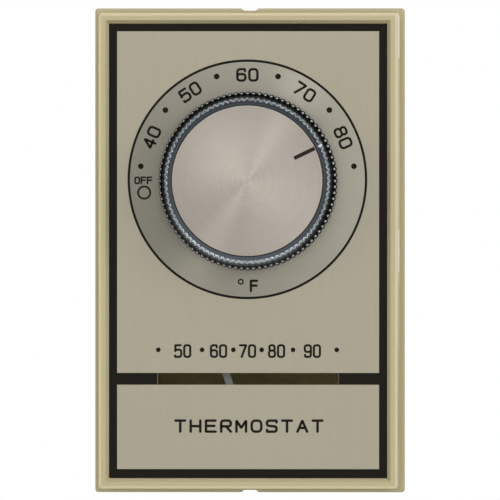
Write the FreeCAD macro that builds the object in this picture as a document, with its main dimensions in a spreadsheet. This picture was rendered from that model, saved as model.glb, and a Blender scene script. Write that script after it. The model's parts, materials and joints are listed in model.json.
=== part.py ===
"""Line-voltage wall thermostat with a snap-on cover, a dial knob and a small thermometer.

Millimetres. +Z is up, the front faces -Y and +X is to the right of someone facing it. The origin
is on the wall plane, midway between the two mounting screws. "Depth" means distance in front of
the wall plane, so y is minus the depth, and the switch housing in the wall box has negative depth.
"""

import FreeCAD, Part
import math
import os
import re
import Sketcher
from FreeCAD import Placement, Rotation, Vector

SIZES = {
    # cover
    "overall_width": 76.2,
    "overall_height": 119.1,
    "cover_depth": 30.0,
    "flange_thickness": 2.0,
    "flange_overhang": 1.2,
    "flange_corner": 0.8,
    "flange_round": 0.6,
    "wall_draft": 0.5,
    "cover_wall": 2.0,
    "rim_width": 2.55,
    "rim_bevel": 0.8,
    "rim_round": 0.5,
    "cover_corner": 0.9,
    "plate_recess": 1.1,
    "web_thickness": 1.6,
    "notch_width": 4.2,
    "notch_floor": 3.0,
    "notch_depth": 0.55,
    # ventilation slots in the cover's four walls
    "side_vent_length": 42.0,
    "side_vent_bridge": 10.5,
    "vent_width": 2.4,
    "vent_pitch": 5.0,
    "vent_start": 8.0,
    "end_vent_length": 12.0,
    "end_vent_pitch": 15.5,
    # faceplate
    "faceplate_thickness": 0.6,
    "faceplate_gap": 0.1,
    "shaft_hole": 4.5,
    "window_width": 44.05,
    "window_height": 2.87,
    "window_from_bottom": 28.45,
    "window_margin": 1.0,
    "dial_from_top": 42.55,
    # thermometer
    "needle_drop": 15.15,
    "needle_reach": 18.5,
    "needle_tail": 5.0,
    "needle_width": 1.75,
    "needle_thickness": 0.4,
    "needle_angle": 18.3,
    "needle_hub": 2.2,
    "needle_room": 1.3,
    "arbor_radius": 0.6,
    "arbor_play": 0.05,
    "coil_width": 2.4,
    "coil_thickness": 0.35,
    "coil_radius": 7.4,
    "coil_turns": 4.5,
    "coil_grip": 0.01,
    "thermometer_gap": 0.4,
    "bracket_thickness": 0.8,
    "bracket_reach": 12.0,
    "bracket_height": 6.0,
    "boss_radius": 2.5,
    "boss_screw": 1.0,
    # dial knob
    "knob_radius": 21.75,
    "knob_shoulder": 20.9,
    "knob_lip": 19.9,
    "knob_height": 12.5,
    "knob_gap": 0.3,
    "knob_shoulder_height": 1.2,
    "rib_depth": 0.4,
    "insert_radius": 18.2,
    "insert_thickness": 0.6,
    "insert_recess": 0.2,
    "insert_gap": 0.1,
    "core_wall": 1.4,
    "core_radius": 18.7,
    "core_gap": 0.2,
    "hub_radius": 5.0,
    # dial shaft
    "shaft_radius": 3.0,
    "shaft_play": 0.05,
    "shaft_flat": 2.2,
    "shaft_end_gap": 0.3,
    "shaft_stub": 1.0,
    "knob_flat": 2.75,
    "knob_clip_thickness": 0.4,
    "bush_radius": 4.5,
    "bush_flange": 6.0,
    "bush_flange_height": 1.5,
    "bush_length": 4.2,
    "groove_depth": 0.6,
    "shaft_clip_radius": 5.2,
    "shaft_clip_thickness": 0.7,
    "shaft_clip_play": 0.3,
    # dial cam
    "cam_radius": 9.0,
    "cam_play": 0.1,
    "cam_gap": 0.2,
    "range_cam_thickness": 3.0,
    "off_cam_thickness": 2.4,
    "off_cam_radius": 6.5,
    "off_lobe_radius": 8.0,
    "off_turn": 162.3,
    "hot_turn": 17.5,
    "lever_ratio": 0.021,
    # set-point lever and bimetal
    "follower_radius": 1.8,
    "follower_pin": 0.9,
    "lever_thickness": 1.4,
    "lever_pin": 1.6,
    "lever_play": 0.05,
    "pivot_drop": 9.3,
    "pivot_inset": 3.9,
    "spring_room": 2.0,
    "spring_play": 0.15,
    "spring_strip": 0.5,
    "spring_radius": 2.6,
    "tab_height": 8.0,
    "bimetal_gap": 4.5,
    "bimetal_thickness": 0.9,
    "bimetal_width": 6.0,
    "tip_below": 20.0,
    "tip_margin": 3.0,
    "tip_gap": 2.0,
    "screw_radius": 1.2,
    "screw_head": 2.2,
    "screw_head_height": 1.6,
    # mounting plate and mechanism frame
    "mount_spacing": 83.3,
    "mount_hole": 2.1,
    "mount_plate_thickness": 1.5,
    "plate_side_gap": 1.4,
    "plate_end_gap": 1.85,
    "frame_thickness": 1.5,
    "frame_setback": 6.7,
    "frame_below": 14.0,
    "frame_above": 12.0,
    "foot_width": 5.1,
    "leg_gap": 0.4,
    # switch housing
    "housing_depth": 14.0,
    "housing_wall": 2.0,
    "housing_lip": 4.0,
    "housing_lip_thickness": 1.4,
    "housing_fit": 0.2,
    "screw_room": 11.65,
    "insulator_thickness": 0.8,
    "insulator_margin": 1.0,
    "lead_outlet_width": 18.0,
    "lead_outlet_low": 4.5,
    "lead_outlet_high": 13.5,
    # switch blades, contacts and terminals
    "snap_offset": 9.0,
    "snap_pivot": 18.0,
    "snap_contact": 12.0,
    "off_pivot": 22.0,
    "off_contact_height": 0.0,
    "blade_thickness": 0.5,
    "blade_width": 8.0,
    "blade_front": 1.0,
    "blade_play": 0.2,
    "rod_width": 2.4,
    "rod_travel": 2.2,
    "rod_back": 5.0,
    "contact_radius": 1.6,
    "moving_contact_thickness": 0.8,
    "fixed_contact_thickness": 0.85,
    "contact_gap": 0.05,
    "contact_depth": 3.0,
    "terminal_thickness": 0.8,
    "terminal_width": 6.0,
    "terminal_foot": 6.0,
    "armature_thickness": 1.0,
    "magnet_gap": 0.5,
    "magnet_thickness": 2.5,
    "magnet_height": 4.5,
    "magnet_depth": 6.0,
    # anticipator
    "anticipator_radius": 1.8,
    "anticipator_length": 10.0,
    "anticipator_inset": 5.4,
    "anticipator_rise": 4.3,
    # fasteners and cover clips
    "rivet_radius": 1.2,
    "rivet_head": 2.2,
    "rivet_head_height": 0.8,
    "small_rivet": 0.9,
    "small_rivet_head": 1.6,
    "small_rivet_height": 0.6,
    "clip_width": 8.0,
    "clip_offset": 14.0,
    "clip_thickness": 0.6,
    "clip_foot": 6.0,
    "clip_length": 12.0,
    "clip_play": 0.1,
    "ground_screw": 1.8,
    "ground_screw_head": 3.6,
    "ground_screw_height": 2.4,
}

PLACES = {
    "front_right": "overall_width / 2 - flange_overhang - wall_draft",
    "front_top": "overall_height / 2 - flange_overhang - wall_draft",
    "cavity_right": "front_right - cover_wall",
    "cavity_top": "front_top - cover_wall",
    "opening_right": "front_right - rim_width",
    "opening_top": "front_top - rim_width",
    "face_depth": "cover_depth - plate_recess",
    "web_front": "face_depth - faceplate_thickness",
    "web_back": "web_front - web_thickness",
    "dial_z": "overall_height / 2 - dial_from_top",
    "window_z": "window_from_bottom - overall_height / 2",
    "needle_z": "window_z - needle_drop",
    "plate_right": "cavity_right - plate_side_gap",
    "plate_top": "cavity_top - plate_end_gap",
    "leg_outer": "plate_right - foot_width",
    "leg_inner": "leg_outer - frame_thickness",
    "lip_right": "leg_inner - leg_gap",
    "housing_right": "lip_right - housing_lip",
    "housing_top": "mount_spacing / 2 - screw_room",
    "lip_top": "housing_top + housing_lip",
    "lip_front": "mount_plate_thickness + housing_lip_thickness",
    "insulator_front": "lip_front + insulator_thickness",
    "room_right": "housing_right - housing_wall",
    "room_top": "housing_top - housing_wall",
    "room_back": "housing_wall - housing_depth",
    "frame_front": "web_back - frame_setback",
    "frame_back": "frame_front - frame_thickness",
    "frame_low": "dial_z - frame_below",
    "frame_high": "dial_z + frame_above",
    "bush_front": "frame_front + bush_length",
    "clip_back": "bush_front + shaft_clip_play",
    "clip_front": "clip_back + shaft_clip_thickness",
    "lever_front": "frame_back - spring_room",
    "lever_back": "lever_front - lever_thickness",
    "cam_front": "lever_back - cam_gap",
    "cam_split": "cam_front - range_cam_thickness",
    "cam_back": "cam_split - off_cam_thickness",
    "shaft_rear": "cam_back - shaft_stub",
    "bimetal_left": "leg_inner - bimetal_gap",
    "bimetal_right": "bimetal_left + bimetal_thickness",
    "bimetal_depth": "(insulator_front + lever_back) / 2",
    "bimetal_back": "bimetal_depth - bimetal_width / 2",
    "pivot_x": "bimetal_left - pivot_inset",
    "pivot_z": "dial_z - pivot_drop",
    "follower_z": "dial_z - cam_radius - cam_play - follower_radius",
    "tab_top": "pivot_z - follower_radius",
    "tab_low": "tab_top - tab_height",
    "rod_z": "-tip_below",
    "rod_low": "rod_z - rod_width / 2",
    "rod_high": "rod_z + rod_width / 2",
    "snap_right": "snap_offset + blade_thickness",
    "rod_right": "snap_right + rod_width",
    "rod_front": "bimetal_depth + 1.5 * screw_radius",
    "plunger_reach": "(off_lobe_radius + cam_play) * sqrt(0.5)",
    "off_right": "-plunger_reach - rod_width",
    "plunger_high": "dial_z - plunger_reach",
    "plunger_low": "plunger_high - rod_width",
    "needle_front": "web_back - needle_room",
    "needle_back": "needle_front - needle_thickness",
    "coil_front": "needle_back - thermometer_gap",
    "coil_back": "coil_front - coil_width",
    "bracket_front": "coil_back - thermometer_gap",
    "bracket_back": "bracket_front - bracket_thickness",
    "knob_back": "face_depth + knob_gap",
    "knob_front": "knob_back + knob_height",
    "insert_front": "knob_front - insert_recess",
    "insert_back": "insert_front - insert_thickness",
    "core_inner": "insert_back - core_wall",
    "shaft_front": "core_inner - shaft_end_gap",
}

RIB_COUNT = 92
VENT_ROWS = 4
END_VENT_ROWS = 3
END_VENT_COUNT = 4
SIDES = (-1, 1)
WORD = re.compile(r"[a-z_]+")

doc = FreeCAD.newDocument("wall_thermostat")


# ---------------------------------------------------------------- sheet and expressions


def make_sheet():
    """The driving dimensions, one named cell each."""
    sheet = doc.addObject("Spreadsheet::Sheet", "Sizes")
    for row, (name, number) in enumerate(SIZES.items(), start=1):
        sheet.set(f"A{row}", name)
        sheet.set(f"B{row}", str(number))
        sheet.setAlias(f"B{row}", name)
    doc.recompute()
    return sheet


def full(expression):
    """The expression with each size and place named in full."""

    def owned(match):
        word = match.group()
        if word in SIZES:
            return "Sizes." + word
        if word in PLACES:
            return "Places." + word
        return word

    return WORD.sub(owned, expression)


def make_places():
    """Heights, depths and half-widths that follow from the driving dimensions."""
    places = doc.addObject("App::VarSet", "Places")
    for name, expression in PLACES.items():
        places.addProperty("App::PropertyFloat", name)
        places.setExpression(name, full(expression))
    doc.recompute()
    return places


SHEET = make_sheet()
PLACE = make_places()


def worth(expression):
    """What an expression comes to now."""
    return float(SHEET.evalExpression(full(expression)))


def bind(thing, target, expression):
    thing.setExpression(target, full(expression))


# ---------------------------------------------------------------- sketches


def pin(sketch, kind, geometry, point, expression):
    """Hold one coordinate of a sketch's point at an expression."""
    number = sketch.addConstraint(
        Sketcher.Constraint(kind, -1, 1, geometry, point, worth(expression))
    )
    bind(sketch, f"Constraints[{number}]", expression)


def polygon(*corners):
    """A closed outline with a straight edge between each corner and the next."""

    def draw(sketch):
        places = [Vector(worth(across), worth(up), 0) for across, up in corners]
        lines = [
            sketch.addGeometry(Part.LineSegment(start, end), False)
            for start, end in zip(places, places[1:] + places[:1])
        ]
        for line, following in zip(lines, lines[1:] + lines[:1]):
            sketch.addConstraint(Sketcher.Constraint("Coincident", line, 2, following, 1))
        for line, (across, up) in zip(lines, corners):
            pin(sketch, "DistanceX", line, 1, across)
            pin(sketch, "DistanceY", line, 1, up)

    return draw


def rectangle(left, right, low, high):
    return polygon((left, low), (right, low), (right, high), (left, high))


def frame_of(right, top):
    """A rectangle centred on the origin, from its half-width and half-height."""
    return rectangle(f"-({right})", right, f"-({top})", top)


def circle(across, up, radius):
    def draw(sketch):
        centre = Vector(worth(across), worth(up), 0)
        ring = sketch.addGeometry(Part.Circle(centre, Vector(0, 0, 1), worth(radius)), False)
        pin(sketch, "DistanceX", ring, 3, across)
        pin(sketch, "DistanceY", ring, 3, up)
        number = sketch.addConstraint(Sketcher.Constraint("Radius", ring, worth(radius)))
        bind(sketch, f"Constraints[{number}]", radius)

    return draw


# ---------------------------------------------------------------- bodies


class Piece:
    """A PartDesign body. Sketches lie on its XZ, YZ or XY plane; on XZ, depth is the offset."""

    def __init__(self, label):
        self.body = doc.addObject("PartDesign::Body", label)
        self.label = label
        self.steps = 0

    def name(self, kind):
        self.steps += 1
        return f"{self.label}_{kind}_{self.steps}"

    def sketch(self, plane, offset, shapes):
        sketch = self.body.newObject("Sketcher::SketchObject", self.name("sketch"))
        support = [f for f in self.body.Origin.OriginFeatures if f.Role == plane + "_Plane"][0]
        sketch.AttachmentSupport = [(support, "")]
        sketch.MapMode = "FlatFace"
        bind(sketch, "AttachmentOffset.Base.z", offset)
        for draw in shapes:
            draw(sketch)
        return sketch

    def pad(self, plane, start, end, *shapes):
        """Add the shapes' area from one offset to a larger one."""
        feature = self.body.newObject("PartDesign::Pad", self.name("pad"))
        feature.Profile = self.sketch(plane, start, shapes)
        bind(feature, "Length", f"({end}) - ({start})")
        doc.recompute()
        return self

    def cut(self, plane, start, end, *shapes):
        """Take the shapes' area away between two offsets."""
        before = self.body.Tip.Shape.Volume
        feature = self.body.newObject("PartDesign::Pocket", self.name("pocket"))
        feature.Profile = self.sketch(plane, end, shapes)
        bind(feature, "Length", f"({end}) - ({start})")
        doc.recompute()
        if self.body.Tip.Shape.Volume >= before:
            raise ValueError(f"{feature.Name} cuts nothing")
        return self

    def loft(self, kind, start, start_shape, end, end_shape):
        """Blend from one outline to another; kind is Additive or Subtractive."""
        feature = self.body.newObject(f"PartDesign::{kind}Loft", self.name("loft"))
        feature.Profile = self.sketch("XZ", start, [start_shape])
        feature.Sections = [self.sketch("XZ", end, [end_shape])]
        feature.Ruled = True
        doc.recompute()
        return self

    def fillet(self, radius, chosen):
        """Round the edges that the given test picks."""
        base = self.body.Tip
        edges = [
            f"Edge{number}"
            for number, edge in enumerate(base.Shape.Edges, start=1)
            if chosen(edge.BoundBox)
        ]
        feature = self.body.newObject("PartDesign::Fillet", self.name("fillet"))
        feature.Base = (base, edges)
        bind(feature, "Radius", radius)
        doc.recompute()
        return self


def close(one, other):
    return abs(one - other) < 0.01


def post_edges(right, top):
    """Picks the edges that run front to back at a centred rectangle's corners."""
    half_width, half_height = worth(right), worth(top)

    def chosen(box):
        return (
            box.YLength > 0.3
            and box.XLength < 0.6
            and box.ZLength < 0.6
            and abs(abs(box.Center.x) - half_width) < 0.3
            and abs(abs(box.Center.z) - half_height) < 0.3
        )

    return chosen


def rim_edges(depth, right, top):
    """Picks the edges of a centred rectangle at one depth, corner arcs included."""
    level, half_width, half_height = -worth(depth), worth(right), worth(top)

    def chosen(box):
        flat = box.YLength < 0.01 and close(box.YMin, level)
        on_side = close(max(abs(box.XMin), abs(box.XMax)), half_width)
        on_end = close(max(abs(box.ZMin), abs(box.ZMax)), half_height)
        return flat and (on_side or on_end)

    return chosen


# ---------------------------------------------------------------- primitives


def bar(label, x, z, radius, start, end):
    """A round bar that runs forwards from one depth to another."""
    rod = doc.addObject("Part::Cylinder", label)
    rod.Placement = Placement(Vector(), Rotation(Vector(1, 0, 0), 90))
    bind(rod, "Radius", radius)
    bind(rod, "Height", f"({end}) - ({start})")
    bind(rod, "Placement.Base.x", x)
    bind(rod, "Placement.Base.y", f"-({start})")
    bind(rod, "Placement.Base.z", z)
    return rod


def cross_bar(label, left, right, depth, z, radius):
    """A round bar that runs from left to right."""
    rod = doc.addObject("Part::Cylinder", label)
    rod.Placement = Placement(Vector(), Rotation(Vector(0, 1, 0), 90))
    bind(rod, "Radius", radius)
    bind(rod, "Height", f"({right}) - ({left})")
    bind(rod, "Placement.Base.x", left)
    bind(rod, "Placement.Base.y", f"-({depth})")
    bind(rod, "Placement.Base.z", z)
    return rod


def upright_bar(label, x, depth, low, high, radius):
    """A round bar that stands along Z."""
    rod = doc.addObject("Part::Cylinder", label)
    bind(rod, "Radius", radius)
    bind(rod, "Height", f"({high}) - ({low})")
    bind(rod, "Placement.Base.x", x)
    bind(rod, "Placement.Base.y", f"-({depth})")
    bind(rod, "Placement.Base.z", low)
    return rod


def block(label, left, right, start, end, low, high):
    """A box between two depths."""
    box = doc.addObject("Part::Box", label)
    bind(box, "Length", f"({right}) - ({left})")
    bind(box, "Width", f"({end}) - ({start})")
    bind(box, "Height", f"({high}) - ({low})")
    bind(box, "Placement.Base.x", left)
    bind(box, "Placement.Base.y", f"-({end})")
    bind(box, "Placement.Base.z", low)
    return box


def fused(label, *shapes):
    whole = doc.addObject("Part::MultiFuse", label)
    whole.Shapes = list(shapes)
    whole.Refine = True
    return whole


def less(label, base, tool):
    rest = doc.addObject("Part::Cut", label)
    rest.Base = base
    rest.Tool = tool
    return rest


def common(label, one, other):
    shared = doc.addObject("Part::Common", label)
    shared.Base = one
    shared.Tool = other
    return shared


def group(label, pieces):
    """Identical pieces, each a solid of its own, kept together as one node."""
    together = doc.addObject("Part::Compound", label)
    together.Links = pieces
    return together


def feature(label, shape, x="0", z="0"):
    """A shape made with Part's own functions, moved to its place on the front."""
    thing = doc.addObject("Part::Feature", label)
    thing.Shape = shape
    thing.Placement = Placement(Vector(worth(x), 0, worth(z)), Rotation())
    return thing


def rivet(label, x, z, start, end, size="rivet"):
    """A shank between two depths with a round head in front."""
    small = size == "small_rivet"
    head = "small_rivet_head" if small else "rivet_head"
    height = "small_rivet_height" if small else "rivet_head_height"
    shank = bar(f"{label}_shank", x, z, "small_rivet" if small else "rivet_radius", start, end)
    return fused(label, shank, bar(f"{label}_head", x, z, head, end, f"({end}) + {height}"))


# ---------------------------------------------------------------- cover


def side_vents():
    """Long upright slots, seen from the side: two lengths in each row."""
    shapes = []
    for row in range(VENT_ROWS):
        middle = f"-(vent_start + {row} * vent_pitch)"
        for side in SIDES:
            near = f"{side} * side_vent_bridge / 2"
            far = f"{side} * (side_vent_bridge / 2 + side_vent_length)"
            low, high = (near, far) if side > 0 else (far, near)
            back, front = f"{middle} + vent_width / 2", f"{middle} - vent_width / 2"
            shapes.append(rectangle(front, back, low, high))
    return shapes


def end_vents():
    """Short slots through the top and bottom walls, seen from above."""
    shapes = []
    for row in range(END_VENT_ROWS):
        middle = f"-(vent_start + {row} * vent_pitch)"
        for column in range(END_VENT_COUNT):
            centre = f"{column - (END_VENT_COUNT - 1) / 2} * end_vent_pitch"
            left, right = f"{centre} - end_vent_length / 2", f"{centre} + end_vent_length / 2"
            back, front = f"{middle} + vent_width / 2", f"{middle} - vent_width / 2"
            shapes.append(rectangle(left, right, front, back))
    return shapes


def notch(side, depth):
    """The outline of the pry notch at the middle of the flange's short edge."""
    outer = f"{side} * overall_height / 2"
    inner = f"{side} * (overall_height / 2 - {depth})"
    corners = [
        ("-notch_width / 2", outer),
        ("notch_width / 2", outer),
        ("notch_floor / 2", inner),
        ("-notch_floor / 2", inner),
    ]
    return polygon(*corners)


def cover_case():
    """Flange, drafted walls, beveled rim and the web that carries the faceplate."""
    case = Piece("cover_case")
    case.pad("XZ", "0", "flange_thickness", frame_of("overall_width / 2", "overall_height / 2"))
    case.fillet("flange_corner", post_edges("overall_width / 2", "overall_height / 2"))
    case.fillet("flange_round", rim_edges("flange_thickness", "overall_width / 2", "overall_height / 2"))
    foot = frame_of("front_right + wall_draft", "front_top + wall_draft")
    front = frame_of("front_right", "front_top")
    case.loft("Additive", "flange_thickness", foot, "cover_depth", front)
    case.fillet("cover_corner", post_edges("front_right + wall_draft / 2", "front_top + wall_draft / 2"))
    case.fillet("rim_round", rim_edges("cover_depth", "front_right", "front_top"))
    opening = frame_of("opening_right", "opening_top")
    mouth = frame_of("opening_right + rim_bevel", "opening_top + rim_bevel")
    case.loft("Subtractive", "face_depth", opening, "cover_depth", mouth)
    case.cut("XZ", "web_front", "face_depth", opening)
    case.cut("XZ", "0", "web_back", frame_of("cavity_right", "cavity_top"))
    case.cut("YZ", "-overall_width", "overall_width", *side_vents())
    case.cut("XY", "-overall_height", "overall_height", *end_vents())
    for side in SIDES:
        case.cut("XZ", "0", "flange_thickness", notch(side, "notch_depth"))
        case.cut("XZ", "flange_thickness / 2", "flange_thickness", notch(side, "flange_overhang"))
    case.cut("XZ", "web_back", "web_front", circle("0", "dial_z", "hub_radius + shaft_play + 1"))
    case.cut("XZ", "web_back", "web_front", web_window())
    for side in SIDES:
        boss = f"{side} * bracket_reach"
        case.pad("XZ", "bracket_front", "web_back", circle(boss, "needle_z", "boss_radius"))
        case.cut("XZ", "bracket_front", "web_back", circle(boss, "needle_z", "boss_screw"))
    pivot = circle("0", "needle_z", "arbor_radius + arbor_play")
    case.cut("XZ", "web_back", "web_back + web_thickness / 2", pivot)
    return case.body


def web_window():
    """The opening behind the faceplate's slot, a little larger than the slot."""
    return rectangle(
        "-window_width / 2 - window_margin",
        "window_width / 2 + window_margin",
        "window_z - window_height / 2 - window_margin",
        "window_z + window_height / 2 + window_margin",
    )


def faceplate():
    """The aluminium plate that drops into the rim, with a shaft hole and the thermometer slot."""
    plate = Piece("faceplate")
    slot = rectangle(
        "-window_width / 2",
        "window_width / 2",
        "window_z - window_height / 2",
        "window_z + window_height / 2",
    )
    outline = frame_of("opening_right - faceplate_gap", "opening_top - faceplate_gap")
    plate.pad("XZ", "web_front", "face_depth", outline, circle("0", "dial_z", "shaft_hole"), slot)
    return plate.body


# ---------------------------------------------------------------- thermometer


def thermometer_bracket():
    """The strip behind the coil, with a tab that holds the coil's outer end."""
    bracket = Piece("thermometer_bracket")
    strip = rectangle(
        "-bracket_reach - boss_radius",
        "bracket_reach + boss_radius",
        "needle_z - bracket_height / 2",
        "needle_z + bracket_height / 2",
    )
    holes = [circle(f"{side} * bracket_reach", "needle_z", "boss_screw") for side in SIDES]
    pivot = circle("0", "needle_z", "arbor_radius + arbor_play")
    bracket.pad("XZ", "bracket_back", "bracket_front", strip, pivot, *holes)
    stem = ("-boss_screw", "boss_screw")
    tail_low, tab_top = "needle_z - coil_radius - bracket_thickness", "needle_z - coil_radius"
    tail = rectangle(*stem, tail_low, "needle_z - bracket_height / 2 + arbor_radius")
    bracket.pad("XZ", "bracket_back", "bracket_front", tail)
    bracket.pad("XZ", "bracket_front", "coil_front", rectangle(*stem, tail_low, tab_top))
    return bracket.body


def bracket_screws():
    screws = []
    for number, side in enumerate(SIDES):
        x = f"{side} * bracket_reach"
        label = f"bracket_screw_{number}"
        shank = bar(f"{label}_shank", x, "needle_z", "boss_screw", "bracket_back", "web_back - 1")
        head_back = "bracket_back - rivet_head_height"
        head = bar(f"{label}_head", x, "needle_z", "2 * boss_screw", head_back, "bracket_back")
        screws.append(fused(label, shank, head))
    return group("bracket_screws", screws)


def thermometer_arbor():
    back, front = "bracket_back - thermometer_gap", "web_back + web_thickness / 3"
    return bar("thermometer_arbor", "0", "needle_z", "arbor_radius", back, front)


def thermometer_pointer():
    """The needle and its hub, drawn pointing up and then leaned to its reading."""
    needle = Piece("thermometer_pointer")
    span = ("needle_back", "needle_front")
    needle.pad("XZ", *span, circle("0", "0", "needle_hub"))
    blade = rectangle("-needle_width / 2", "needle_width / 2", "-needle_tail", "needle_reach")
    needle.pad("XZ", *span, blade)
    needle.cut("XZ", *span, circle("0", "0", "arbor_radius"))
    needle.body.Placement = Placement(Vector(), Rotation(Vector(0, -1, 0), worth("needle_angle")))
    bind(needle.body, "Placement.Rotation.Angle", "needle_angle")
    bind(needle.body, "Placement.Base.z", "needle_z")
    return needle.body


def spiral(radius_shift, depth):
    """One edge of the coil's strip, from its start by the arbor to the bracket's tab."""
    turns = worth("coil_turns")
    first = worth("arbor_radius + coil_thickness / 2 + coil_grip")
    last = worth("coil_radius - coil_thickness / 2 - coil_grip")
    stations = int(12 * turns) + 1
    points = []
    for station in range(stations):
        share = station / (stations - 1)
        angle = -math.pi / 2 - 2 * math.pi * turns * (1 - share)
        radius = first + (last - first) * share + radius_shift
        points.append(Vector(radius * math.cos(angle), -depth, radius * math.sin(angle)))
    curve = Part.BSplineCurve()
    curve.interpolate(points)
    return curve.toShape()


def thermometer_coil():
    """A flat bimetal spiral whose outer end is fixed to the bracket's tab."""
    half, depth = worth("coil_thickness") / 2, worth("coil_back")
    inner, outer = spiral(-half, depth), spiral(half, depth)
    ends = [
        Part.LineSegment(inner.Vertexes[end].Point, outer.Vertexes[end].Point).toShape()
        for end in (0, -1)
    ]
    face = Part.Face(Part.Wire(Part.__sortEdges__([inner, outer, *ends])))
    strip = face.extrude(Vector(0, -worth("coil_width"), 0))
    return feature("thermometer_coil", strip, z="needle_z")


# ---------------------------------------------------------------- dial knob


def ribbed_ring(crest, depth):
    """A closed wire of RIB_COUNT bulges whose tops lie on the crest radius."""
    valley = crest - worth("rib_depth")
    step = 2 * math.pi / RIB_COUNT

    def place(radius, angle):
        return Vector(radius * math.cos(angle), -depth, radius * math.sin(angle))

    arcs = [
        Part.Arc(
            place(valley, rib * step),
            place(crest, (rib + 0.5) * step),
            place(valley, (rib + 1) * step),
        ).toShape()
        for rib in range(RIB_COUNT)
    ]
    return Part.Wire(arcs)


def knob_skirt():
    """The clear ribbed grip, open behind and with a lip round the insert."""
    rings = [
        ribbed_ring(worth("knob_radius"), worth("knob_back")),
        ribbed_ring(worth("knob_shoulder"), worth("knob_front - knob_shoulder_height")),
        ribbed_ring(worth("knob_lip"), worth("knob_front")),
    ]
    grip = feature("knob_grip", Part.makeLoft(rings, True, True), z="dial_z")
    inside = fused(
        "knob_inside",
        bar("knob_cavity", "0", "dial_z", "core_radius + core_gap", "knob_back", "insert_back"),
        bar("knob_mouth", "0", "dial_z", "insert_radius + insert_gap", "knob_back", "knob_front"),
    )
    return less("knob_skirt", grip, inside)


def shaft_bore(label, radius, flat, start, end):
    """The D-shaped space that a shaft with one flat fills."""
    round_bore = bar(f"{label}_round", "0", "dial_z", radius, start, end)
    below = block(f"{label}_below", f"-2 * ({radius})", f"2 * ({radius})", start, end,
                  f"dial_z - 2 * ({radius})", f"dial_z + {flat}")
    return common(label, round_bore, below)


def knob_core():
    """The dark cup inside the grip, with the hub that slides on the shaft."""
    shell = less(
        "core_shell",
        bar("core_outside", "0", "dial_z", "core_radius", "knob_back", "insert_back"),
        bar("core_inside", "0", "dial_z", "core_radius - core_wall", "knob_back", "core_inner"),
    )
    hub = bar("core_hub", "0", "dial_z", "hub_radius", "knob_back", "core_inner")
    bore = shaft_bore("core_bore", "shaft_radius + shaft_play", "knob_flat", "knob_back", "core_inner")
    return less("knob_core", fused("core_solid", shell, hub), bore)


def dial_insert():
    return bar("dial_insert", "0", "dial_z", "insert_radius", "insert_back", "insert_front")


def knob_clip():
    """The leaf between the shaft's flat and the hub, which holds the knob on."""
    half = "0.4 * shaft_radius"
    low = "dial_z + knob_flat - knob_clip_thickness"
    return block("knob_clip", f"-{half}", half, "knob_back + 1", "shaft_front - 1",
                 low, "dial_z + knob_flat")


# ---------------------------------------------------------------- dial shaft and cam


def dial_shaft():
    """A round shaft with a flat for the knob and a groove for the retaining clip."""
    rod = bar("shaft_rod", "0", "dial_z", "shaft_radius", "shaft_rear", "shaft_front")
    above = block("shaft_above", "-2 * shaft_radius", "2 * shaft_radius", "web_back",
                  "shaft_front", "dial_z + shaft_flat", "dial_z + 2 * shaft_radius")
    groove = less(
        "shaft_groove",
        bar("groove_outside", "0", "dial_z", "2 * shaft_radius", "clip_back", "clip_front"),
        bar("groove_floor", "0", "dial_z", "shaft_radius - groove_depth", "clip_back", "clip_front"),
    )
    return less("dial_shaft", rod, fused("shaft_cuts", above, groove))


def shaft_clip():
    """An open ring that snaps into the shaft's groove in front of the bush."""
    span = ("clip_back", "clip_front")
    ring = less(
        "clip_ring",
        bar("clip_outside", "0", "dial_z", "shaft_clip_radius", *span),
        bar("clip_inside", "0", "dial_z", "shaft_radius - groove_depth", *span),
    )
    gap = block("clip_mouth", "-0.7 * shaft_radius", "0.7 * shaft_radius", *span,
                "dial_z - 2 * shaft_clip_radius", "dial_z")
    return less("shaft_clip", ring, gap)


def follower_path(turn):
    """Where the follower's axis is, seen from the cam, when the dial has turned so many degrees."""
    pivot = Vector(worth("pivot_x"), 0, worth("pivot_z - dial_z"))
    rest = Vector(0, 0, worth("follower_z - dial_z"))
    swing = Rotation(Vector(0, 1, 0), worth("lever_ratio") * turn)
    place = pivot + swing.multVec(rest - pivot)
    return Rotation(Vector(0, 1, 0), turn).multVec(place)


def cam_edge(depth):
    """The spiral that keeps touch with the follower, closed by an arc on its idle side."""
    first, last, spare = -worth("hot_turn"), worth("off_turn"), 12
    stations = 13
    points = []
    for station in range(stations):
        turn = first - spare + (last - first + 2 * spare) * station / (stations - 1)
        axis = follower_path(turn)
        reach = axis.Length - worth("follower_radius + cam_play")
        points.append(Vector(0, -depth, 0) + axis.normalize() * reach)
    curve = Part.BSplineCurve()
    curve.interpolate(points)
    angles = [math.atan2(point.z, point.x) for point in (points[0], points[-1])]
    middle = (angles[0] + angles[1]) / 2
    side = Vector(math.cos(middle), 0, math.sin(middle))
    idle = Vector(0, -depth, 0) + side * worth("off_cam_radius + cam_play")
    back = Part.Arc(points[-1], idle, points[0])
    return Part.Wire([curve.toShape(), back.toShape()])


def lobe_edge(depth):
    """The round off cam, raised on the side that faces the plunger when the dial is at OFF."""
    low, high = worth("off_cam_radius"), worth("off_lobe_radius")
    facing = math.radians(225 - worth("off_turn"))
    spread = math.radians(25)

    def place(radius, angle):
        return Vector(radius * math.cos(angle), -depth, radius * math.sin(angle))

    start, end = place(low, facing - spread), place(low, facing + spread)
    bump = Part.Arc(start, place(high, facing), end)
    rest = Part.Arc(end, place(low, facing + math.pi), start)
    return Part.Wire([bump.toShape(), rest.toShape()])


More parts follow.
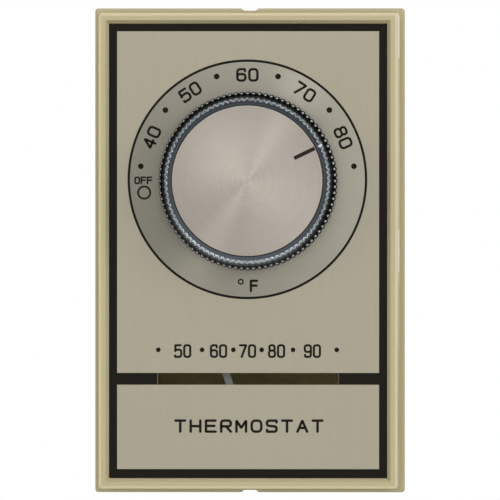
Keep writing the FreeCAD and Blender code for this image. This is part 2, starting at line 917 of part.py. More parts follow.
def dial_cam():
    """One moulding with the set-point cam in front and the off cam behind it."""
    front = Part.Face(cam_edge(worth("cam_split"))).extrude(Vector(0, -worth("range_cam_thickness"), 0))
    back = Part.Face(lobe_edge(worth("cam_back"))).extrude(Vector(0, -worth("off_cam_thickness"), 0))
    cams = fused("cam_solid", feature("range_cam", front, z="dial_z"), feature("off_cam", back, z="dial_z"))
    bore = bar("cam_bore", "0", "dial_z", "shaft_radius", "cam_back", "cam_front")
    return less("dial_cam", cams, bore)


# ---------------------------------------------------------------- set-point lever


def range_lever():
    """A stamped lever: bar to the follower, pivot, and a tab bent back for the bimetal."""
    lever = Piece("range_lever")
    span = ("lever_back", "lever_front")
    lever.pad("XZ", *span, circle("pivot_x", "pivot_z", "2.6 * lever_pin"))
    lever.pad("XZ", *span, circle("0", "follower_z", "3.5 * follower_pin"))
    arm = [
        ("0", "follower_z - 2.5 * follower_pin"),
        ("pivot_x", "pivot_z - 1.8 * lever_pin"),
        ("pivot_x", "pivot_z + 1.8 * lever_pin"),
        ("0", "follower_z + 2.5 * follower_pin"),
    ]
    lever.pad("XZ", *span, polygon(*arm))
    lever.pad("XZ", *span, rectangle("pivot_x - lever_pin", "bimetal_left", "tab_low", "pivot_z"))
    tab = rectangle("bimetal_left - lever_thickness", "bimetal_left", "tab_low", "tab_top")
    lever.pad("XZ", "bimetal_back", "lever_back", tab)
    lever.cut("XZ", *span, circle("pivot_x", "pivot_z", "lever_pin + lever_play"))
    lever.cut("XZ", *span, circle("0", "follower_z", "follower_pin"))
    rivets = [circle("-bimetal_depth", height, "small_rivet") for height in bimetal_rivet_heights()]
    lever.cut("YZ", "bimetal_left - lever_thickness", "bimetal_left", *rivets)
    return lever.body


def bimetal_rivet_heights():
    return ["tab_top - tab_height / 4", "tab_low + tab_height / 4"]


def cam_follower():
    """The roller that rides on the cam's edge."""
    start, end = "cam_split + cam_gap", "lever_back - cam_gap"
    wheel = bar("follower_wheel", "0", "follower_z", "follower_radius", start, end)
    hole = bar("follower_hole", "0", "follower_z", "follower_pin", start, end)
    return less("cam_follower", wheel, hole)


def follower_pin():
    span = ("cam_split + cam_gap", "lever_front")
    return rivet("follower_pin", "0", "follower_z", *span, size="small_rivet")


def lever_pin():
    """The shouldered pin in the frame that the lever turns on."""
    head_back = "lever_back - cam_gap - rivet_head_height"
    head = bar("lever_pin_head", "pivot_x", "pivot_z", "1.8 * lever_pin", head_back, "lever_back - cam_gap")
    shank = bar("lever_pin_shank", "pivot_x", "pivot_z", "lever_pin", "lever_back - cam_gap", "frame_front")
    return fused("lever_pin", head, shank)


def lever_spring():
    """A hairpin spring round the pivot: one arm on the frame's leg, one under the follower's rivet."""
    spring = Piece("lever_spring")
    span = ("lever_front + spring_play", "frame_back - spring_play")
    ring_low = "pivot_z - spring_radius"
    head_low = "follower_z - small_rivet_head - spring_play"
    spring.pad("XZ", *span, circle("pivot_x", "pivot_z", "spring_radius"))
    spring.pad("XZ", *span, rectangle("pivot_x", "leg_inner", ring_low, f"{ring_low} + spring_strip"))
    arm = [
        ("pivot_x", ring_low),
        ("pivot_x", f"{ring_low} + spring_strip"),
        ("0", head_low),
        ("0", f"{head_low} - spring_strip"),
    ]
    spring.pad("XZ", *span, polygon(*arm))
    spring.cut("XZ", *span, circle("pivot_x", "pivot_z", "lever_pin + spring_play"))
    return spring.body


def bimetal_blade():
    """The temperature-sensing strip, riveted to the lever's tab at its top."""
    strip = Piece("bimetal_blade")
    outline = rectangle(
        "-bimetal_depth - bimetal_width / 2",
        "-bimetal_depth + bimetal_width / 2",
        "rod_z - tip_margin",
        "tab_top",
    )
    rivets = [circle("-bimetal_depth", height, "small_rivet") for height in bimetal_rivet_heights()]
    screw = circle("-bimetal_depth", "rod_z", "screw_radius")
    strip.pad("YZ", "bimetal_left", "bimetal_right", outline, screw, *rivets)
    return strip.body


def bimetal_rivets():
    rivets = []
    left, right = "bimetal_left - lever_thickness", "bimetal_right"
    for number, height in enumerate(bimetal_rivet_heights()):
        label = f"bimetal_rivet_{number}"
        shank = cross_bar(f"{label}_shank", left, right, "bimetal_depth", height, "small_rivet")
        heads = [
            cross_bar(f"{label}_head", right, f"{right} + small_rivet_height", "bimetal_depth",
                      height, "small_rivet_head"),
            cross_bar(f"{label}_tail", f"{left} - small_rivet_height", left, "bimetal_depth",
                      height, "small_rivet_head"),
        ]
        rivets.append(fused(label, shank, *heads))
    return group("bimetal_rivets", rivets)


def calibration_screw():
    """Threaded through the strip's free end, aimed at the push rod."""
    shank = cross_bar("calibration_shank", "rod_right + tip_gap", "bimetal_right",
                      "bimetal_depth", "rod_z", "screw_radius")
    head = cross_bar("calibration_head", "bimetal_right", "bimetal_right + screw_head_height",
                     "bimetal_depth", "rod_z", "screw_head")
    slot = block("calibration_slot", "bimetal_right + screw_head_height / 2",
                 "bimetal_right + screw_head_height", "bimetal_depth - screw_radius / 4",
                 "bimetal_depth + screw_radius / 4", "rod_z - screw_head", "rod_z + screw_head")
    return less("calibration_screw", fused("calibration_solid", shank, head), slot)


# ---------------------------------------------------------------- switch blades


def blade(label, left, low, high):
    """A spring strip standing on edge in the housing."""
    back = "blade_front - blade_width"
    return block(label, left, f"{left} + blade_thickness", back, "blade_front", low, high)


def snap_blade():
    top = "snap_pivot + terminal_thickness"
    return blade("snap_blade", "snap_offset", "blade_play - room_top + 2 * armature_thickness", top)


def off_blade():
    low = "-off_pivot - terminal_thickness"
    return blade("off_blade", "off_right - blade_thickness", low, "plunger_high")


def contact(label, left, thickness, height):
    return cross_bar(label, left, f"{left} + {thickness}", "-contact_depth", height, "contact_radius")


def moving_contact():
    return contact("moving_contact", "snap_right", "moving_contact_thickness", "-snap_contact")


def off_contact():
    return contact("off_contact", "off_right", "moving_contact_thickness", "off_contact_height")


def fixed_contact_left(blade_right):
    return f"{blade_right} + moving_contact_thickness + contact_gap"


def fixed_contacts():
    snap_left, off_left = fixed_contact_left("snap_right"), fixed_contact_left("off_right")
    return group(
        "fixed_contacts",
        [
            contact("snap_fixed_contact", snap_left, "fixed_contact_thickness", "-snap_contact"),
            contact("off_fixed_contact", off_left, "fixed_contact_thickness", "off_contact_height"),
        ],
    )


def armature():
    """The steel pad that the magnet pulls, on the snap blade's free end."""
    low = "blade_play - room_top + 2 * armature_thickness"
    return block("armature", "snap_right", "snap_right + armature_thickness", "-magnet_depth",
                 "0", low, f"{low} + 2.5 * armature_thickness")


def magnet():
    """Stands on the housing's bottom wall beside the armature."""
    left = "snap_right + armature_thickness + magnet_gap"
    return block("magnet", left, f"{left} + magnet_thickness", "-magnet_depth", "0",
                 "-room_top", "magnet_height - room_top")


def push_rod():
    """The insulating rod from the snap blade forwards to the calibration screw."""
    return block("push_rod", "snap_right", "rod_right", "-rod_back", "rod_front", "rod_low", "rod_high")


def off_plunger():
    """The insulating rod from the off blade forwards to the off cam."""
    return block("off_plunger", "off_right", "off_right + rod_width", "-rod_back",
                 "cam_split - cam_gap", "plunger_low", "plunger_high")


def terminal(label, left, foot_end, height):
    """A strip that stands on the housing floor, with a foot that runs to the given side."""
    post = Piece(label)
    floor, heel = "-room_back", "-room_back - terminal_thickness"
    right = f"{left} + terminal_thickness"
    post.pad(
        "XY",
        f"{height} - terminal_width / 2",
        f"{height} + terminal_width / 2",
        rectangle(left, right, "-blade_front / 2", floor),
    )
    near, far = (foot_end, right) if worth(foot_end) < worth(left) else (left, foot_end)
    post.pad(
        "XY",
        f"{height} - terminal_width / 2",
        f"{height} + terminal_width / 2",
        rectangle(near, far, heel, floor),
    )
    post.cut("XZ", "room_back", "room_back + terminal_thickness",
             circle(foot_middle(left, foot_end), height, "rivet_radius"))
    return post.body


def foot_middle(left, foot_end):
    """The middle of a terminal's foot, clear of its post."""
    return f"(({left}) + ({foot_end})) / 2"


def terminal_places():
    """Each terminal's post, the end of its foot and its height."""
    snap_fixed = f"{fixed_contact_left('snap_right')} + fixed_contact_thickness"
    off_fixed = f"{fixed_contact_left('off_right')} + fixed_contact_thickness"
    snap_root = "snap_offset - blade_play - terminal_thickness"
    off_root = "off_right - blade_thickness - blade_play - terminal_thickness"
    return {
        "line_terminal": (snap_fixed, f"{snap_fixed} - terminal_foot", "-snap_contact"),
        "load_terminal": (snap_root, f"{snap_root} - terminal_foot", "snap_pivot"),
        "off_line_terminal": (off_fixed, f"{off_fixed} + terminal_foot", "off_contact_height"),
        "off_load_terminal": (off_root, f"{off_root} + terminal_foot", "-off_pivot"),
    }


def terminal_screws():
    screws = []
    for name, (left, foot_end, height) in terminal_places().items():
        x = foot_middle(left, foot_end)
        start, end = "room_back - housing_wall / 2", "room_back + terminal_thickness"
        screws.append(rivet(f"{name}_screw", x, height, start, end))
    return group("terminal_screws", screws)


# ---------------------------------------------------------------- base


def frame_rivet_places():
    """Two rivets through each of the frame's feet."""
    x = "(leg_outer + plate_right) / 2"
    heights = ("frame_low + frame_below / 4", "frame_high - frame_above / 4")
    return [(f"{side} * {x}", height) for side in SIDES for height in heights]


def housing_rivet_places():
    x, z = "(housing_right + lip_right) / 2", "(housing_top + lip_top) / 2"
    return [(f"{side} * {x}", f"{end} * {z}") for side in SIDES for end in SIDES]


def clip_rivet_places():
    z = "(plate_top - clip_foot / 2)"
    return [(f"{side} * clip_offset", f"{end} * {z}") for side in SIDES for end in SIDES]


def ground_place():
    return "-(plate_right - 2.5 * ground_screw_head)", "-(plate_top - 2.8 * ground_screw_head)"


def mounting_plate():
    """The steel plate that the two mounting screws hold to the wall box."""
    plate = Piece("mounting_plate")
    window = frame_of("housing_right + housing_fit", "housing_top + housing_fit")
    plate.pad("XZ", "0", "mount_plate_thickness", frame_of("plate_right", "plate_top"), window)
    plate.fillet("cover_corner", post_edges("plate_right", "plate_top"))
    mounts = [circle("0", f"{end} * mount_spacing / 2", "mount_hole") for end in SIDES]
    rivets = [circle(*place, "rivet_radius") for place in frame_rivet_places()]
    small = [circle(*place, "small_rivet") for place in housing_rivet_places() + clip_rivet_places()]
    ground = circle(*ground_place(), "ground_screw")
    plate.cut("XZ", "0", "mount_plate_thickness", ground, *mounts, *rivets, *small)
    return plate.body


def switch_housing():
    """The moulded box that sits in the wall box, with a lip on the mounting plate."""
    housing = Piece("switch_housing")
    walls = frame_of("housing_right", "housing_top")
    housing.pad("XZ", "-housing_depth", "mount_plate_thickness", walls)
    housing.fillet("cover_corner", post_edges("housing_right", "housing_top"))
    housing.pad("XZ", "mount_plate_thickness", "lip_front", frame_of("lip_right", "lip_top"))
    housing.cut("XZ", "room_back", "lip_front", frame_of("room_right", "room_top"))
    half = "lead_outlet_width / 2"
    outlet = rectangle(f"-{half}", half, "lead_outlet_low", "lead_outlet_high")
    housing.cut("XZ", "-housing_depth", "room_back", outlet)
    rivets = [circle(*place, "small_rivet") for place in housing_rivet_places()]
    housing.cut("XZ", "mount_plate_thickness", "lip_front", *rivets)
    screws = [
        circle(foot_middle(left, foot_end), height, "rivet_radius")
        for left, foot_end, height in terminal_places().values()
    ]
    housing.cut("XZ", "room_back - housing_wall / 2", "room_back", *screws)
    return housing.body


def insulator_plate():
    """The fibre sheet over the housing, with a slot for each rod's travel."""
    sheet = Piece("insulator_plate")
    outline = frame_of("lip_right - insulator_margin", "lip_top - insulator_margin")
    margin = "rod_width / 4"
    rod_slot = rectangle(f"snap_right - rod_travel - {margin}", f"rod_right + {margin}",
                         f"rod_low - {margin}", f"rod_high + {margin}")
    plunger_slot = rectangle(f"off_right - rod_travel - {margin}", f"off_right + rod_width + {margin}",
                             f"plunger_low - {margin}", f"plunger_high + {margin}")
    rivets = [circle(*place, "small_rivet") for place in housing_rivet_places()]
    sheet.pad("XZ", "lip_front", "insulator_front", outline, rod_slot, plunger_slot, *rivets)
    return sheet.body


def mechanism_frame():
    """A bent steel bridge over the housing that carries the bush and the lever's pin."""
    bridge = Piece("mechanism_frame")
    foot_front = "mount_plate_thickness + frame_thickness"
    profile = [
        ("plate_right", "-mount_plate_thickness"),
        ("plate_right", f"-({foot_front})"),
        ("leg_outer", f"-({foot_front})"),
        ("leg_outer", "-frame_front"),
        ("-leg_outer", "-frame_front"),
        ("-leg_outer", f"-({foot_front})"),
        ("-plate_right", f"-({foot_front})"),
        ("-plate_right", "-mount_plate_thickness"),
        ("-leg_inner", "-mount_plate_thickness"),
        ("-leg_inner", "-frame_back"),
        ("leg_inner", "-frame_back"),
        ("leg_inner", "-mount_plate_thickness"),
    ]
    bridge.pad("XY", "frame_low", "frame_high", polygon(*profile))
    holes = [circle("0", "dial_z", "bush_radius"), circle("pivot_x", "pivot_z", "lever_pin")]
    bridge.cut("XZ", "frame_back", "frame_front", *holes)
    rivets = [circle(*place, "rivet_radius") for place in frame_rivet_places()]
    bridge.cut("XZ", "mount_plate_thickness", foot_front, *rivets)
    return bridge.body


def shaft_bush():
    """The flanged brass bearing of the dial shaft."""
    back = "frame_back - bush_flange_height / 2"
    collar_front = "frame_front + bush_flange_height"
    sleeve = bar("bush_sleeve", "0", "dial_z", "bush_radius", back, "bush_front")
    flange = bar("bush_collar", "0", "dial_z", "bush_flange", "frame_front", collar_front)
    bore = bar("bush_bore", "0", "dial_z", "shaft_radius + shaft_play", back, "bush_front")
    return less("shaft_bush", fused("bush_solid", sleeve, flange), bore)


def anticipator_place():
    return "bimetal_left - anticipator_inset", "insulator_front + anticipator_rise"


def anticipator():
    """The small heater beside the bimetal."""
    x, depth = anticipator_place()
    low = "rod_high + screw_radius"
    return upright_bar("anticipator", x, depth, low, f"{low} + anticipator_length", "anticipator_radius")


def anticipator_clips():
    """Two cradles on the insulator that hold the heater near its ends."""
    x, depth = anticipator_place()
    low = "rod_high + screw_radius"
    clips = []
    for number, start in enumerate((f"{low} + 1", f"{low} + anticipator_length - 2.5")):
        left, right = f"{x} - 1.3 * anticipator_radius", f"{x} + 1.3 * anticipator_radius"
        end = f"{start} + 1.5"
        cradle = block(f"cradle_{number}", left, right, "insulator_front", depth, start, end)
        room = upright_bar(f"cradle_room_{number}", x, depth, start, end, "anticipator_radius")
        clips.append(less(f"anticipator_clip_{number}", cradle, room))
    return group("anticipator_clips", clips)


def rivet_group(label, places, start, end, size):
    return group(
        label,
        [rivet(f"{label}_{n}", x, z, start, end, size) for n, (x, z) in enumerate(places)],
    )


def cover_clip(label, x, end):
    """A bent leaf on the plate's edge that grips inside the cover's wall."""
    leaf = Piece(label)
    back = "mount_plate_thickness"
    front = "mount_plate_thickness + clip_length"
    bulge = "cavity_top - clip_play"
    crest = "mount_plate_thickness + clip_length / 2"
    outline = [
        (back, "plate_top - clip_foot"),
        (back, "plate_top"),
        (crest, bulge),
        (front, "plate_top"),
        (front, "plate_top - clip_thickness"),
        (crest, f"{bulge} - clip_thickness"),
        (f"{back} + clip_thickness", "plate_top - clip_thickness"),
        (f"{back} + clip_thickness", "plate_top - clip_foot"),
    ]
    corners = [(f"-({depth})", f"{end} * ({height})") for depth, height in outline]
    leaf.pad("YZ", f"{x} - clip_width / 2", f"{x} + clip_width / 2", polygon(*corners))
    leaf.cut("XZ", back, f"{back} + clip_thickness",
             circle(x, f"{end} * (plate_top - clip_foot / 2)", "small_rivet"))
    return leaf.body


def cover_clips():
    clips = []
    for side in SIDES:
        for end in SIDES:
            clips.append(cover_clip(f"cover_clip_{len(clips)}", f"{side} * clip_offset", end))
    return group("cover_clips", clips)


def ground_screw():
    """A hexagonal-headed screw in the mounting plate."""
    x, z = ground_place()
    shank = bar("ground_shank", x, z, "ground_screw", "0", "mount_plate_thickness")
    head = doc.addObject("Part::Prism", "ground_head")
    head.Polygon = 6
    head.Placement = Placement(Vector(), Rotation(Vector(1, 0, 0), 90))
    bind(head, "Circumradius", "ground_screw_head")
    bind(head, "Height", "ground_screw_height")
    bind(head, "Placement.Base.x", x)
    bind(head, "Placement.Base.y", "-mount_plate_thickness")
    bind(head, "Placement.Base.z", z)
    return fused("ground_screw", shank, head)


# ---------------------------------------------------------------- the whole thermostat


def build():
    makers = [
        cover_case, faceplate,
        thermometer_bracket, bracket_screws, thermometer_arbor, thermometer_pointer, thermometer_coil,
        knob_skirt, knob_core, dial_insert, knob_clip,
        dial_shaft, shaft_clip, dial_cam,
        range_lever, cam_follower, follower_pin, lever_pin, lever_spring,
        bimetal_blade, bimetal_rivets, calibration_screw,
        snap_blade, moving_contact, armature, push_rod, magnet,
        off_blade, off_contact, off_plunger, fixed_contacts, terminal_screws,
        mounting_plate, switch_housing, insulator_plate, mechanism_frame, shaft_bush,
        anticipator, anticipator_clips, cover_clips, ground_screw,
    ]
    nodes = [make() for make in makers]
    nodes += [terminal(name, *place) for name, place in terminal_places().items()]
    foot_front = "mount_plate_thickness + frame_thickness"
    clip_front = "mount_plate_thickness + clip_thickness"
    nodes += [
        rivet_group("frame_rivets", frame_rivet_places(), "0", foot_front, "rivet"),
        rivet_group("housing_rivets", housing_rivet_places(), "0", "insulator_front", "small_rivet"),
        rivet_group("clip_rivets", clip_rivet_places(), "0", clip_front, "small_rivet"),
    ]
    return nodes


def check(nodes):
    """Refuse to write anything while an object has failed or a node isn't a sound solid."""
    doc.recompute()
    failed = [thing.Label for thing in doc.Objects if {"Invalid", "Error"} & set(thing.State)]
    unsound = [
        node.Label
        for node in nodes
        if node.Shape.isNull() or not node.Shape.isValid() or not node.Shape.Solids
    ]
    if failed or unsound:
        raise ValueError(f"failed: {failed}; unsound: {unsound}")


def export(nodes):
    os.makedirs("parts", exist_ok=True)
    for node in nodes:
        node.Shape.exportStep(f"parts/{node.Label}.step")


NODES = build()
check(NODES)
export(NODES)
print(len(NODES), "nodes written")
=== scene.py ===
"""Looks of a line-voltage wall thermostat with a clear ribbed knob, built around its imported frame.

Metres. +Z is up, the front faces -Y and +X is to the right of someone facing it. Sizes of prints
and knob details are written in millimetres and turned into metres where a mesh is made.
"""

import json
import math

import bpy
from mathutils import Matrix, Vector


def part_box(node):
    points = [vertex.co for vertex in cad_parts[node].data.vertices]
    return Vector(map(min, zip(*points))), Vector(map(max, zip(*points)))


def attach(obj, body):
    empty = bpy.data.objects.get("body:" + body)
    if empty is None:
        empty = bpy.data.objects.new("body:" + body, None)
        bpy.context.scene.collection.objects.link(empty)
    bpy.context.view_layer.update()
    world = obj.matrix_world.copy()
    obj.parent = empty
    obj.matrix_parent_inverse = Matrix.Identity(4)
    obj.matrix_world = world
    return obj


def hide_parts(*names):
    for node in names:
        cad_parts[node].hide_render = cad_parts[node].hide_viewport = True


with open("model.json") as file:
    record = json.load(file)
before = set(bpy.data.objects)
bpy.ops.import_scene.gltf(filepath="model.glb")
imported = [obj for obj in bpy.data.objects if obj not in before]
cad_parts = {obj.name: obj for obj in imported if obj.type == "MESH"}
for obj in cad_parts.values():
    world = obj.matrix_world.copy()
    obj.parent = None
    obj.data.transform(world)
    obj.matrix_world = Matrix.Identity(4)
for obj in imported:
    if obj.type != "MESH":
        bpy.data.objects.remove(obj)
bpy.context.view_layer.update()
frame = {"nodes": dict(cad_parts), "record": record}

MM = 0.001
TURN = 2 * math.pi
RIB_COUNT = 92
DIAL_DEGREES_PER_F = 3.32
DIAL_TOP_F = 60
SETTING_ANGLE = 25.7
SIDES = (-1, 1)
WHITE = (1.0, 1.0, 1.0, 1.0)


# ---------------------------------------------------------------- shader arithmetic


class Value:
    """One socket of a finish's nodes. Arithmetic on it adds Math nodes."""

    def __init__(self, finish, socket):
        self.finish = finish
        self.socket = socket

    def math(self, operation, *terms):
        return self.finish.node("ShaderNodeMath", {"operation": operation}, dict(enumerate(terms)))

    def __add__(self, other):
        return self.math("ADD", self, other)

    def __radd__(self, other):
        return self.math("ADD", other, self)

    def __sub__(self, other):
        return self.math("SUBTRACT", self, other)

    def __rsub__(self, other):
        return self.math("SUBTRACT", other, self)

    def __mul__(self, other):
        return self.math("MULTIPLY", self, other)

    def __rmul__(self, other):
        return self.math("MULTIPLY", other, self)

    def __pow__(self, other):
        return self.math("POWER", self, other)

    def cosine(self):
        return self.math("COSINE", self)

    def size(self):
        return self.math("ABSOLUTE", self)

    def clamped(self):
        return self.math("MAXIMUM", self.math("MINIMUM", self, 1.0), 0.0)


class NodeSheet:
    """The nodes of one finish or of the surround."""

    def __init__(self, tree):
        self.nodes = tree.nodes
        self.links = tree.links

    def node(self, kind, settings=None, sockets=None, out=0):
        """A node of this kind, its settings first, then its sockets' values or links."""
        node = self.nodes.new(kind)
        for name, value in (settings or {}).items():
            setattr(node, name, value)
        for key, value in (sockets or {}).items():
            self.feed(node.inputs[key], value)
        return Value(self, node.outputs[out])

    def feed(self, socket, value):
        if isinstance(value, Value):
            self.links.new(value.socket, socket)
        else:
            socket.default_value = value


class Finish(NodeSheet):
    """A material with one Principled shader, and the nodes that vary it."""

    def __init__(self, name, **constants):
        self.material = bpy.data.materials.new(name)
        self.material.use_nodes = True
        super().__init__(self.material.node_tree)
        self.shader = self.nodes["Principled BSDF"]
        self.vary(**constants)

    def vary(self, **inputs):
        """Feed the shader's own sockets with what changes over the surface."""
        for name, value in inputs.items():
            self.feed(self.shader.inputs[name.replace("_", " ")], value)

    def place(self, *stretch):
        """The piece's own coordinates in millimetres, stretched along each axis."""
        scale = [number / MM for number in stretch or (1, 1, 1)]
        object_place = self.node("ShaderNodeTexCoord", out=3)
        return self.node(
            "ShaderNodeVectorMath", {"operation": "MULTIPLY"}, {0: object_place, 1: scale}
        )

    def noise(self, place, scale, detail=3.0, roughness=0.5):
        wanted = {"Vector": place, "Scale": scale, "Detail": detail, "Roughness": roughness}
        return self.node("ShaderNodeTexNoise", sockets=wanted)

    def along(self, place):
        """The x, y and z of a place."""
        split = self.node("ShaderNodeSeparateXYZ", sockets={0: place})
        outputs = split.socket.node.outputs
        return [Value(self, output) for output in outputs]

    def mix(self, factor, one, other):
        """From colour one to colour other."""
        sockets = {0: factor, 6: one, 7: other}
        return self.node("ShaderNodeMix", {"data_type": "RGBA"}, sockets, out=2)

    def about_axis(self):
        """The radius in millimetres and the angle about the piece's own Z axis."""
        x, y, z = self.along(self.place())
        return (x * x + y * y) ** 0.5, y.math("ARCTAN2", y, x)

    def bump(self, height, distance):
        """A normal from a height of 0 to 1 that stands for this many millimetres."""
        return self.node(
            "ShaderNodeBump", sockets={"Strength": 1.0, "Distance": distance * MM, "Height": height}
        )


def colour(red, green, blue):
    """A linear colour from display levels of 0 to 255."""
    levels = [level / 255 for level in (red, green, blue)]
    return tuple(
        level / 12.92 if level <= 0.04045 else ((level + 0.055) / 1.055) ** 2.4 for level in levels
    ) + (1.0,)


def shade(base, factor):
    """The same colour, lighter or darker."""
    return tuple(min(1.0, part * factor) for part in base[:3]) + (1.0,)


# ---------------------------------------------------------------- finishes

case_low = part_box("cover_case")[0]
# the painted highlight on the cover's rounded outer ridge: where it starts, how deep it reaches and
# how much lighter it is
RIDGE_INSET = 2.5
RIDGE_DEPTH = 0.7
RIDGE_HIGHLIGHT_LIGHTNESS = 1.34
# where the spun metal's painted highlights and painted lighter side are, and where the knob's
# painted light is strongest
HIGHLIGHT_WEDGE_ANGLE = 60.0
LIGHT_WAVE_ANGLE = 142.0
LIT_SIDE_ANGLE = 20.0
BOTTOM_LIGHT_ANGLE = 262.0
# radii of the painted light on the knob, from the core seen through the rim to the glints on the
# ribs
CORE_RADIUS = 18.75
THREAD_RADIUS = 19.62
SCALLOP_RADIUS = 19.7
HAZY_LIGHT_RADIUS = 20.0
GLINT_RADIUS = 21.26


def cover_ridge(finish):
    """Painted highlight on the rounded outer ridge of the cover's front: 1 on the ridge, falling to
    0 beside it.
    """
    x, y, z = finish.along(finish.place())
    right, top = [-case_low[axis] / MM - RIDGE_INSET for axis in (0, 2)]
    outward = x.math("MAXIMUM", x.size() - right, z.size() - top)
    front = (case_low.y / MM + RIDGE_DEPTH - y) * 5.0
    return (outward * 3.0).clamped() * front.clamped()


def moulded(name, base, roughness=0.45, grain=3.0, grain_depth=0.012, mottle=0.06, lighter=None):
    """Moulded plastic: fine grain, slight mottle and smoother patches.

    lighter says where a painted highlight makes the colour lighter, if it is anywhere.
    """
    finish = Finish(name)
    place = finish.place()
    patches = finish.noise(place, 0.06, 4.0)
    fine = finish.noise(place, grain, 2.0)
    tint = finish.mix(patches, shade(base, 1 - mottle), shade(base, 1 + mottle))
    if lighter:
        # painted highlight
        tint = finish.mix(lighter(finish), tint, shade(base, RIDGE_HIGHLIGHT_LIGHTNESS))
    finish.vary(
        Base_Color=tint,
        Roughness=roughness + (patches - 0.5) * 0.16 + (fine - 0.5) * 0.08,
        Normal=finish.bump(fine, grain_depth),
    )
    return finish.material


def speckled(name, base, fleck, roughness=0.5):
    """Filled thermoset: a dark body with lighter flecks of filler and a moulded sheen."""
    finish = Finish(name)
    place = finish.place()
    patches = finish.noise(place, 0.12, 3.0)
    flecks = finish.noise(place, 2.6, 5.0, 0.7)
    spots = ((flecks - 0.56) * 9.0).clamped()
    body = finish.mix(patches, shade(base, 0.85), shade(base, 1.2))
    finish.vary(
        Base_Color=finish.mix(spots * 0.55, body, fleck),
        Roughness=roughness + (patches - 0.5) * 0.2 - spots * 0.08,
        Normal=finish.bump(flecks, 0.02),
    )
    return finish.material


def metal(name, base, roughness=0.32, grain=(1, 1, 1), depth=0.006, tarnish=0.15):
    """Bare or plated metal: rolling or drawing marks along the short axis, and dull patches."""
    finish = Finish(name, Metallic=1.0)
    marks = finish.noise(finish.place(*grain), 4.0, 3.0)
    patches = finish.noise(finish.place(), 0.22, 4.0)
    dull = ((patches - 0.5) * 3.0 + 0.4).clamped()
    finish.vary(
        Base_Color=finish.mix(dull, shade(base, 1 - tarnish), base),
        Roughness=roughness + dull * 0.12 + (marks - 0.5) * 0.18,
        Normal=finish.bump(marks, depth),
    )
    return finish.material


def spangled(name, base, roughness=0.38):
    """Zinc-plated sheet steel: crystal patches and faint rolling marks."""
    finish = Finish(name, Metallic=1.0)
    place = finish.place()
    crystals = finish.node(
        "ShaderNodeTexVoronoi", {"distance": "EUCLIDEAN"}, {"Vector": place, "Scale": 0.32}, out=1
    )
    crystal_tone = finish.along(crystals)[0]
    rolling = finish.noise(finish.place(3, 3, 0.1), 2.0, 2.0)
    worn = finish.noise(place, 0.09, 4.0)
    finish.vary(
        Base_Color=finish.mix(crystal_tone, shade(base, 0.84), shade(base, 1.08)),
        Roughness=roughness + (crystal_tone - 0.5) * 0.12 + (worn - 0.5) * 0.2,
        Normal=finish.bump(rolling, 0.008),
    )
    return finish.material


def brushed_plate(name, base):
    """Champagne anodised plate with a fine vertical brush."""
    finish = Finish(name, Metallic=1.0, Anisotropic=0.35)
    fine = finish.noise(finish.place(4, 1, 0.04), 1.0, 4.0, 0.7)
    broad = finish.noise(finish.place(0.5, 1, 0.02), 1.0, 4.0)
    haze = finish.noise(finish.place(), 0.05, 3.0)
    streak = fine * 0.6 + broad * 0.4
    finish.vary(
        Base_Color=finish.mix(streak, shade(base, 0.88), shade(base, 1.12)),
        Roughness=0.44 + (streak - 0.5) * 0.16 + (haze - 0.5) * 0.08,
        Normal=finish.bump(fine, 0.003),
    )
    return finish.material


def spun(name, base, roughness, rings, highlight_wedge, light_wave, lean=0.0):
    """Spun metal: fine rings about the piece's own Z axis, a painted narrow highlight and a broad
    painted swell of light and shade.

    rings, highlight_wedge and light_wave are how far each one moves the tone; lean paints the upper
    right lighter, as painted light.
    """
    finish = Finish(name, Metallic=1.0, Anisotropic=0.35)
    radius, angle = finish.about_axis()
    grooves = finish.noise(finish.node("ShaderNodeCombineXYZ", sockets={0: radius}), 1.6, 8.0, 0.85)
    across = ((angle - math.radians(HIGHLIGHT_WEDGE_ANGLE)) * 2.0).cosine() * 0.5 + 0.5
    broad = ((angle - math.radians(LIGHT_WAVE_ANGLE)) * 2.0).cosine()
    lit_upper_right = (angle - math.radians(LIT_SIDE_ANGLE)).cosine()
    wander = finish.noise(finish.place(), 0.25, 3.0)
    near_centre = 1.0 + (1.0 - radius * 0.12).clamped() * 1.5
    # the tone mixes real rings and random wander with painted light: a narrow highlight, a broad
    # swell of light and shade and a lighter upper right
    tone = (
        (grooves - 0.5) * near_centre * rings
        + across**18.0 * highlight_wedge
        + broad * light_wave
        + lit_upper_right * lean
        + (wander - 0.5) * 0.1
        + 0.45
    )
    finish.vary(
        Base_Color=finish.mix(tone.clamped(), shade(base, 0.65), shade(base, 1.35)),
        Roughness=roughness + (grooves - 0.5) * 0.25,
        Normal=finish.bump(grooves, 0.006),
    )
    return finish.material


def ink(name, base):
    """Screen-printed ink: satin, slightly uneven where it is thin."""
    finish = Finish(name, Specular_IOR_Level=0.12)
    place = finish.place()
    cover = finish.noise(place, 1.3, 4.0)
    finish.vary(
        Base_Color=finish.mix(cover, shade(base, 0.8), shade(base, 1.25)),
        Roughness=0.42 + (cover - 0.5) * 0.2,
        Normal=finish.bump(finish.noise(place, 7.0), 0.004),
    )
    return finish.material


def frosting(angle):
    """How much painted light lies on the knob at this angle: most at the bottom."""
    return (((angle - math.radians(BOTTOM_LIGHT_ANGLE)).cosine() - 0.3) * 1.4).clamped()


def band(radius, middle, sharpness):
    """1 at the middle radius, falling to 0 beside it."""
    return (1.0 - (radius - middle).size() * sharpness).clamped()


